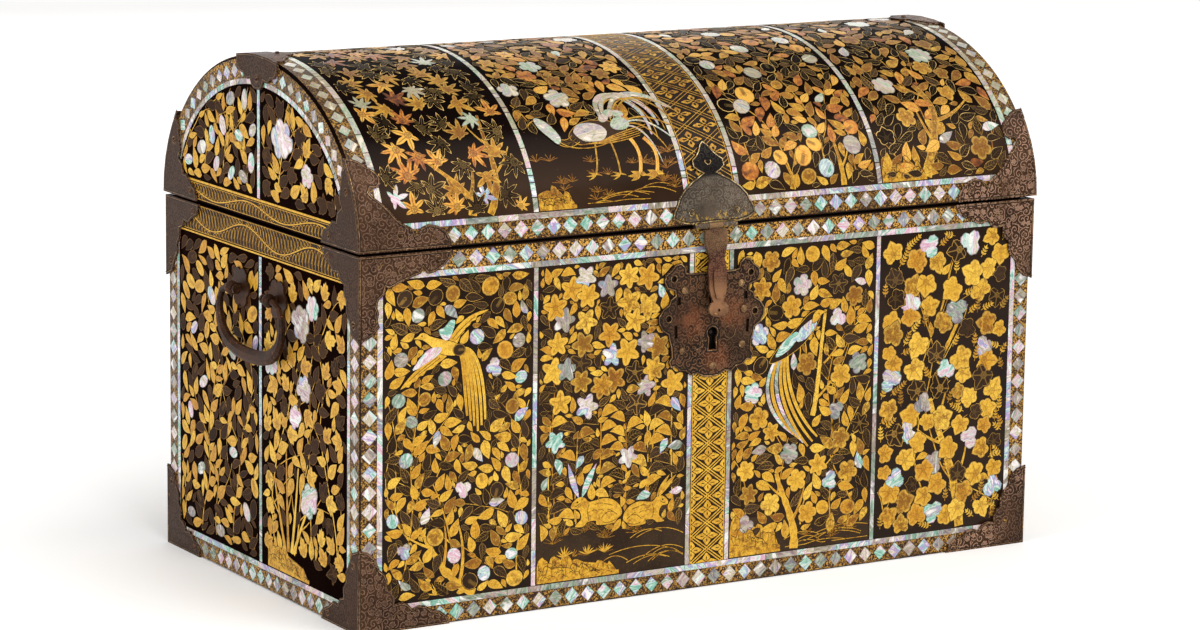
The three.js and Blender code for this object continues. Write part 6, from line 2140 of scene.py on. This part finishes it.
def paint_barrel(rng):
    P = Painter("barrel")
    S = SLEN
    hu = XL
    nv = 48
    band(P, "nashiji", -hu + 1.6, hu - 1.6, 0.6, 15.2, 0.05, (0.35, 0, 0), 3, 12)
    band(P, "nashiji", -hu + 1.6, hu - 1.6, S - 15.2, S - 0.6, 0.05, (0.35, 0, 0), 3, 12)
    for s in (-1, 1):
        a, b = sorted((s * (hu - 1.6), s * 224.2))
        band(P, "nashiji", a, b, 15.2, S - 15.2, 0.05, (0.30, 0, 0), nv, 1)
        # lozenges beside the end edge
        n = int(round((S - 30) / 11.0))
        for k in range(n):
            diamond(P, (s * 233.4, 17 + (S - 34) * (k + 0.5) / n), PI / 2, 4.9, 4.4, rng, 0.18)
        for x in (226.0, 123.0, 18.3):
            w = 3.8 if x > 200 else 3.2
            pearl_path(P, np.stack([np.full(75, s * x), np.linspace(15.4, S - 15.4, 75)], -1), w, rng, 0.18)
    for v in (6.5, S - 6.5):
        diamond_row(P, (-hu + 12, v), (hu - 12, v), rng)
    for v in (13.5, S - 13.5):
        pearl_strip(P, (-224, v), (224, v), 3.4, rng, 0.18)
    lattice_dark(P, -16.2, 16.2, 15.8, S - 15.8, rng)
    panels = [(-223.8, -125.0), (-121.0, -20.4), (20.4, 121.0), (125.0, 223.8)]
    v0, v1 = 15.6, S - 15.6
    for k, (u0, u1) in enumerate(panels):
        g = Grid(u0, u1, v0, v1)
        if k == 0:
            trunk(P, g, [(u0 + 58, v0 + 1), (u0 + 62, v0 + 14), (u0 + 48, v0 + 22), (u0 + 30, v0 + 40)], 5.4, 1.3, rng, n=12, branches=((0.3, -0.9, 20, 3.0),))
            trunk(P, g, [(u0 + 70, v0 + 1), (u0 + 84, v0 + 24), (u0 + 74, v0 + 38), (u0 + 80, v0 + 66)], 4.6, 1.8, rng, n=14, branches=((0.45, -0.8, 22, 1.8), (0.75, 0.7, 18, 1.4)))
            grow_panel(P, g, rng, S_MAPLE, (u0, u1, v0, v1))
        elif k == 1:
            rock(P, g, u0 + 0.5, u0 + 26, v0 + 0.3, 17, rng)
            pheasant(P, g, u0 + 50, v0 + 46, 0.84, rng)
            ground_lines(P, u0 + 24, u1 - 4, v0 + 2, v0 + 12, rng, 7)
            tufts(P, [(rng.uniform(u0 + 4, u1 - 4), rng.uniform(v0 + 4, v0 + 34)) for _ in range(22)], rng, 5.5)
            tufts(P, [(u0 + 92, v0 + 20), (u0 + 96, v0 + 30), (u0 + 88, v0 + 12)], rng, 9, 11)
            grow_panel(P, g, rng, dict(S_LIDBIRD, ground=54), (u0, u1, v0, v1))
        elif k == 2:
            trunk(P, g, [(u0 + 38, v0 + 1), (u0 + 40, v0 + 12), (u0 + 46, v0 + 26)], 4, 1.6, rng, n=8, branches=((0.4, 0.8, 14, 1.6),))
            trunk(P, g, [(u0 + 76, v0 + 1), (u0 + 76, v0 + 12), (u0 + 74, v0 + 30)], 4, 1.6, rng, n=8, branches=((0.5, -0.8, 16, 1.6),))
            grow_panel(P, g, rng, S_LIDFRUIT, (u0, u1, v0, v1))
        else:
            rock(P, g, u0 + 0.5, u0 + 34, v0 + 0.3, 20, rng)
            trunk(P, g, [(u0 + 34, v0 + 2), (u0 + 44, v0 + 30), (u0 + 60, v0 + 42), (u0 + 46, v0 + 66)], 7, 3.4, rng, n=14,
                  branches=((0.35, 0.9, 24, 2.6), (0.6, -1.1, 34, 3.0), (0.9, 0.8, 20, 2.0)))
            trunk(P, g, [(u0 + 40, v0 + 170), (u0 + 44, v0 + 190), (u0 + 36, v0 + 205)], 4.5, 2.5, rng, n=8)
            grow_panel(P, g, rng, S_LIDCLOUD, (u0, u1, v0, v1))
    return P


# ------------------------------------------------------------------ lacquered shells
def mesh_object(name, verts, faces, mats, face_mats, body, slot, smooth_angle=None):
    me = bpy.data.meshes.new(name)
    me.from_pydata([tuple(float(c) / 1000 for c in v) for v in verts], [], faces)
    for m in mats:
        me.materials.append(m)
    if face_mats is not None:
        me.polygons.foreach_set("material_index", face_mats)
    me.validate()
    me.update()
    ob = bpy.data.objects.new(name, me)
    scene.collection.objects.link(ob)
    if smooth_angle:
        me.shade_smooth()
        me.set_sharp_from_angle(angle=math.radians(smooth_angle))
    return ob


def body_shell():
    """One continuous lacquered box: walls, stepped rim, floor inside and underside."""
    r = 1.6                                    # rounding of the standing corners

    def ring(inset, z, rad):
        pts = []
        hx, hy = HW - inset, HD - inset
        for cx, cy, a0 in ((hx - rad, hy - rad, 0), (-hx + rad, hy - rad, PI / 2), (-hx + rad, -hy + rad, PI), (hx - rad, -hy + rad, 1.5 * PI)):
            for k in range(5):
                a = a0 + PI / 2 * k / 4
                pts.append((cx + rad * math.cos(a), cy + rad * math.sin(a), z))
        return pts

    prof = [(1.4, 0.0), (0.5, 0.5), (0.0, 1.4), (0, 75.0), (0, 150), (0, HB - 1.0), (0.35, HB - 0.35), (1.0, HB), (TB - LIP - 0.3, HB), (TB - LIP, HB + 0.3),
            (TB - LIP, ZL - CLR - 0.5), (TB - LIP + 0.5, ZL - CLR), (TB - 0.5, ZL - CLR), (TB, ZL - CLR - 0.5), (TB, TB + 2.0), (TB + 0.6, TB + 0.6), (TB + 2.0, TB)]
    mats = []
    verts, faces, fm = [], [], []
    n = 20
    for ins, z in prof:
        verts += ring(ins, z, max(0.4, r - ins * 0.12))
    for j in range(len(prof) - 1):
        for k in range(n):
            a, b = j * n + k, j * n + (k + 1) % n
            faces.append((a, b, b + n, a + n))
            # the end faces (k = 9 and 19) take lac_end; the rest of the outside takes lac_front, whose lighter brown is
            # a painted reflection
            fm.append(1 if j >= 9 else (2 if k in (9, 19) else 0))
    faces.append(tuple(range(n - 1, -1, -1)))
    fm.append(0)
    last = (len(prof) - 1) * n
    faces.append(tuple(last + k for k in range(n)))
    fm.append(1)
    ob = mesh_object("body_lacquer", verts, faces, [M["lac_front"], M["lac_in"], M["lac_end"]], fm, "coffer_body", "lacquered_wood", 35)
    # pocket behind the lock plate
    cut = mesh_object("cutter", [(x, y, z) for x in (-18, 18) for y in (-HD - 2, -HD + 6.4) for z in (144, 191)],
                      [(0, 1, 3, 2), (4, 6, 7, 5), (0, 4, 5, 1), (2, 3, 7, 6), (0, 2, 6, 4), (1, 5, 7, 3)], [M["lac_in"]], None, None, None)
    bo = ob.modifiers.new("pocket", "BOOLEAN")
    bo.operation, bo.object, bo.solver = "DIFFERENCE", cut, "EXACT"
    dg = bpy.context.evaluated_depsgraph_get()
    me = bpy.data.meshes.new_from_object(ob.evaluated_get(dg))
    ob.modifiers.clear()
    old = ob.data
    ob.data = me
    bpy.data.meshes.remove(old)
    bpy.data.objects.remove(cut)
    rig.ride(ob, "coffer_body")
    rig.slot(ob, "lacquered_wood")
    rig.replaces(ob, "body_front_board", "body_back_board", "body_left_end_board", "body_right_end_board", "body_bottom_board")
    return ob


def lid_shell():
    """One continuous barrel vault with its two ends and a rounded bead on each arched edge."""
    N = 72
    t = np.linspace(0, PI, N + 1)
    br = 2.6
    # x stations with the inset of the bead
    st = []
    for k in range(6):
        a = PI / 2 * k / 5
        st.append((-XL + br * (1 - math.sin(a)), br * (1 - math.cos(a))))      # from face inwards: offset then x
    # order from the end face (offset br at x = -XL) to the barrel (offset 0 at x = -XL + br)
    st = [(-XL + br * (1 - math.cos(a)), br * (1 - math.sin(a))) for a in (PI / 2 * k / 5 for k in range(6))]
    xs = st + [(x, 0.0) for x in np.linspace(-XL + br, XL - br, 17)[1:-1]] + [(-x, o) for x, o in st[::-1]]
    verts, faces, fm = [], [], []
    m = N + 1
    for x, o in xs:
        for a in t:
            verts.append((x, -(A - o) * math.cos(a), ZL + (B - o) * math.sin(a)))
    for i in range(len(xs) - 1):
        for k in range(N):
            a = i * m + k
            faces.append((a, a + m, a + m + 1, a + 1))
            fm.append(0)
    # inner vault
    xi = XL - TB
    base = len(verts)
    inner = [(-xi, TS), (xi, TS)]
    for x, o in inner:
        for a in t:
            verts.append((x, -(A - o) * math.cos(a), ZL + (B - o) * math.sin(a)))
    for k in range(N):
        a, b = base + k, base + m + k
        faces.append((a, a + 1, b + 1, b))
        fm.append(1)
    # end caps outside and inside
    L0, R0 = 0, (len(xs) - 1) * m
    cl, cr = len(verts), len(verts) + 1
    verts += [(-XL, 0, ZL + 30), (XL, 0, ZL + 30)]
    il, ir = len(verts), len(verts) + 1
    verts += [(-xi, 0, ZL + 30), (xi, 0, ZL + 30)]
    for k in range(N):
        faces.append((cl, L0 + k, L0 + k + 1)); fm.append(2)
        faces.append((cr, R0 + k + 1, R0 + k)); fm.append(2)
        faces.append((il, base + k + 1, base + k)); fm.append(1)
        faces.append((ir, base + m + k, base + m + k + 1)); fm.append(1)
    # rim: outer ends and centre of the caps down to z = ZL
    fo = [i * m for i in range(len(xs))]                 # front outer edge, left to right
    bo = [i * m + N for i in range(len(xs))]
    fi, bi = [base, base + m], [base + N, base + m + N]
    faces.append(tuple([fi[0], fi[1]] + fo[::-1])); fm.append(0)
    faces.append(tuple([bi[1], bi[0]] + bo)); fm.append(0)
    faces.append((fo[0], bo[0], bi[0], fi[0])); fm.append(0)
    faces.append((fo[-1], fi[1], bi[1], bo[-1])); fm.append(0)
    faces.append((cl, bo[0], fo[0])); fm.append(2)
    faces.append((cr, fo[-1], bo[-1])); fm.append(2)
    faces.append((il, fi[0], bi[0])); fm.append(1)
    faces.append((ir, bi[1], fi[1])); fm.append(1)
    ob = mesh_object("lid_lacquer", verts, faces, [M["lac_lid"], M["lac_in"], M["lac_end"]], fm, "lid", "lacquered_wood", 40)
    import bmesh
    bm = bmesh.new()
    bm.from_mesh(ob.data)
    bmesh.ops.remove_doubles(bm, verts=bm.verts, dist=1e-7)
    bmesh.ops.recalc_face_normals(bm, faces=bm.faces)
    bm.to_mesh(ob.data)
    bm.free()
    ob.data.shade_smooth()
    ob.data.set_sharp_from_angle(angle=math.radians(40))
    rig.ride(ob, "lid")
    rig.slot(ob, "lacquered_wood")
    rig.replaces(ob, *["lid_stave_%d" % k for k in range(1, 8)], "lid_left_end_board", "lid_right_end_board")
    return ob


body_shell()
lid_shell()

# ------------------------------------------------------------------ paint
counts = {}
for seed, (nm, fn) in enumerate((("front", lambda r: paint_front(r)), ("left", lambda r: paint_end(r, "left")),
                                 ("barrel", paint_barrel), ("lidleft", lambda r: paint_lid_end(r, "lidleft")),
                                 ("right", lambda r: paint_end(r, "right")), ("lidright", lambda r: paint_lid_end(r, "lidright")),
                                 ("back", lambda r: paint_front(r, "back", False)))):
    P = fn(np.random.default_rng(1100 + seed))
    counts[nm] = P.finish()
print("decal faces", counts)

# ------------------------------------------------------------------ metal nodes
for nm, ob in frame["nodes"].items():
    if ob.hide_render:
        continue
    if nm == "hasp":
        mat = M["hasp"]
    elif nm == "hasp_plate":
        mat = M["dome"]
    elif nm == "hasp_pin":
        mat = M["darkcu"]
    elif nm.startswith("lock_plate_nail"):
        # nail heads take the lighter metal of the painted highlight
        mat = M["rubbed"]
    elif nm.startswith("lock_plate"):
        mat = M["plate"]
    elif nm.startswith("lock_") and "plate" not in nm:
        mat = M["iron"]
    elif nm.startswith("handle_"):
        mat = M["handle"]
    else:
        mat = M["copper"]
    ob.data.materials.clear()
    ob.data.materials.append(mat)
    bv = ob.modifiers.new("edge", "BEVEL")
    bv.width, bv.segments, bv.limit_method, bv.angle_limit = 0.00022, 2, "ANGLE", math.radians(38)


# ------------------------------------------------------------------ engraved borders
def borders(nm, mats, body, slot):
    """Fine lines that follow the outline of every outer face of a sheet fitting, and a ring round each nail.
    mats: (material, distance from the edge, width) in mm."""
    me = frame["nodes"][nm].data
    me.calc_loop_triangles()
    co = np.array([v.co[:] for v in me.vertices]) * 1000.0
    key = {}
    ids = [key.setdefault(tuple(np.round(c, 3)), len(key)) for c in co]
    pts = np.array(list(key), float)
    tri = np.array([[ids[i] for i in t.vertices] for t in me.loop_triangles])
    tri = tri[(tri[:, 0] != tri[:, 1]) & (tri[:, 1] != tri[:, 2]) & (tri[:, 0] != tri[:, 2])]
    a, b, c = pts[tri[:, 0]], pts[tri[:, 1]], pts[tri[:, 2]]
    nr = np.cross(b - a, c - a)
    ln = np.linalg.norm(nr, axis=1)
    ok = ln > 1e-5
    tri, nr, mid = tri[ok], nr[ok] / ln[ok, None], ((a + b + c) / 3)[ok]
    out = np.stack([np.zeros(len(mid)), mid[:, 1] / (A * A), np.maximum(mid[:, 2] - ZL, 0) / (B * B)], -1)
    out /= np.maximum(np.linalg.norm(out, axis=1), 1e-9)[:, None]
    on_lid = mid[:, 2] > 225.5
    faces_ = {"y-": (nr[:, 1] < -0.97) & ~on_lid, "y+": (nr[:, 1] > 0.97) & ~on_lid,
              "x-": nr[:, 0] < -0.97, "x+": nr[:, 0] > 0.97, "arch": on_lid & ((nr * out).sum(1) > 0.95)}
    made = {m: ([], []) for m, _, _ in mats}
    for tag, sel in faces_.items():
        if not sel.any():
            continue
        # outermost layer only
        depth = mid @ {"y-": (0, -1, 0), "y+": (0, 1, 0), "x-": (-1, 0, 0), "x+": (1, 0, 0), "arch": (0, 0, 0)}[tag]
        if tag != "arch":
            sel = sel & (depth > depth[sel].max() - 3.0)
            base = np.median(depth[sel])
            sel = sel & (np.abs(depth - base) < 0.12)
        fn = {}
        for t in np.flatnonzero(sel):
            for i in range(3):
                fn[(tri[t, i], tri[t, (i + 1) % 3])] = nr[t]
        nxt = {}
        for (i, j), n_ in fn.items():
            if (j, i) not in fn:
                nxt.setdefault(i, []).append((j, n_))
        while nxt:
            start = next(iter(nxt))
            ring, nrm, cur = [], [], start
            while cur in nxt:
                j, n_ = nxt[cur].pop()
                if not nxt[cur]:
                    del nxt[cur]
                ring.append(cur)
                nrm.append(n_)
                cur = j
                if cur == start:
                    break
            if cur != start or len(ring) < 6:
                continue
            R, N_ = pts[ring], np.array(nrm)
            keep = np.linalg.norm(R - np.roll(R, 1, 0), axis=1) > 0.15
            R, N_ = R[keep], N_[keep]
            if len(R) < 6:
                continue
            e = np.roll(R, -1, 0) - R
            L = np.linalg.norm(e, axis=1)
            small = L.sum() < 34
            ins = np.cross(N_, e / L[:, None])
            m_ = ins + np.roll(ins, 1, 0)
            k = np.maximum((m_ * m_).sum(1), 1.1)
            miter = 2 * m_ / k[:, None]
            up = N_ + np.roll(N_, 1, 0)
            up /= np.linalg.norm(up, axis=1)[:, None]
            for mt, d, w in mats:
                if small:
                    d, w = min(d, 0.45), min(w, 0.40)
                vs, fs = made[mt]
                b0, n = len(vs), len(R)
                lift = 0.05 + (0.01 if mt != "groove" else 0)
                vs.extend(map(tuple, R + miter * d + up * lift))
                vs.extend(map(tuple, R + miter * (d + w) + up * lift))
                fs.extend((b0 + i, b0 + (i + 1) % n, b0 + n + (i + 1) % n, b0 + n + i) for i in range(n))
    for mt, (vs, fs) in made.items():
        if not fs:
            continue
        me2 = bpy.data.meshes.new(f"{nm}_{mt}")
        me2.from_pydata([tuple(x / 1000.0 for x in v) for v in vs], [], fs)
        ob2 = bpy.data.objects.new(f"{nm}_{mt}", me2)
        scene.collection.objects.link(ob2)
        me2.materials.append(M[mt])
        me2.shade_smooth()
        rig.ride(ob2, body)
        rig.slot(ob2, slot)


# each fitting gets a dark engraved groove inside its outline and a bright line that is a painted edge highlight; on the
# hasp plate the bright line is partly gilding
for nm, ob in list(frame["nodes"].items()):
    if nm.startswith("corner_lid") or nm.startswith("crown_mount"):
        borders(nm, (("groove", 1.3, 0.45), ("rubbed", 0.85, 0.35)), "lid", "engraved_copper")
    elif nm.startswith("corner_"):
        borders(nm, (("groove", 1.3, 0.45), ("rubbed", 0.85, 0.35)), "coffer_body", "engraved_copper")
    elif nm == "hasp_plate":
        borders(nm, (("gilt", 0.15, 0.55), ("groove", 1.1, 0.5)), "lid", "dark_copper")
    elif nm == "lock_plate":
        borders(nm, (("rubbed", 0.25, 0.55), ("groove", 0.95, 0.7)), "coffer_body", "engraved_copper")

# ------------------------------------------------------------------ floor
me = bpy.data.meshes.new("floor")
me.from_pydata([(-14, -14, 0), (14, -14, 0), (14, 14, 0), (-14, 14, 0)], [], [(0, 1, 2, 3)])
floor = bpy.data.objects.new("floor", me)
scene.collection.objects.link(floor)
fm = Mat("floor")
fm.set(base=fm.mix(fm.smooth(fm.noise(3, 2), 0.3, 0.7), (0.965, 0.965, 0.965), (0.98, 0.98, 0.98)), rough=0.9, spec=0.1)
me.materials.append(fm.m)
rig.stage(floor)

vis = [list(map(float, c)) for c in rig.bounds()]
json.dump({"cad": cad_box, "visual": vis}, open("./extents.json", "w"))
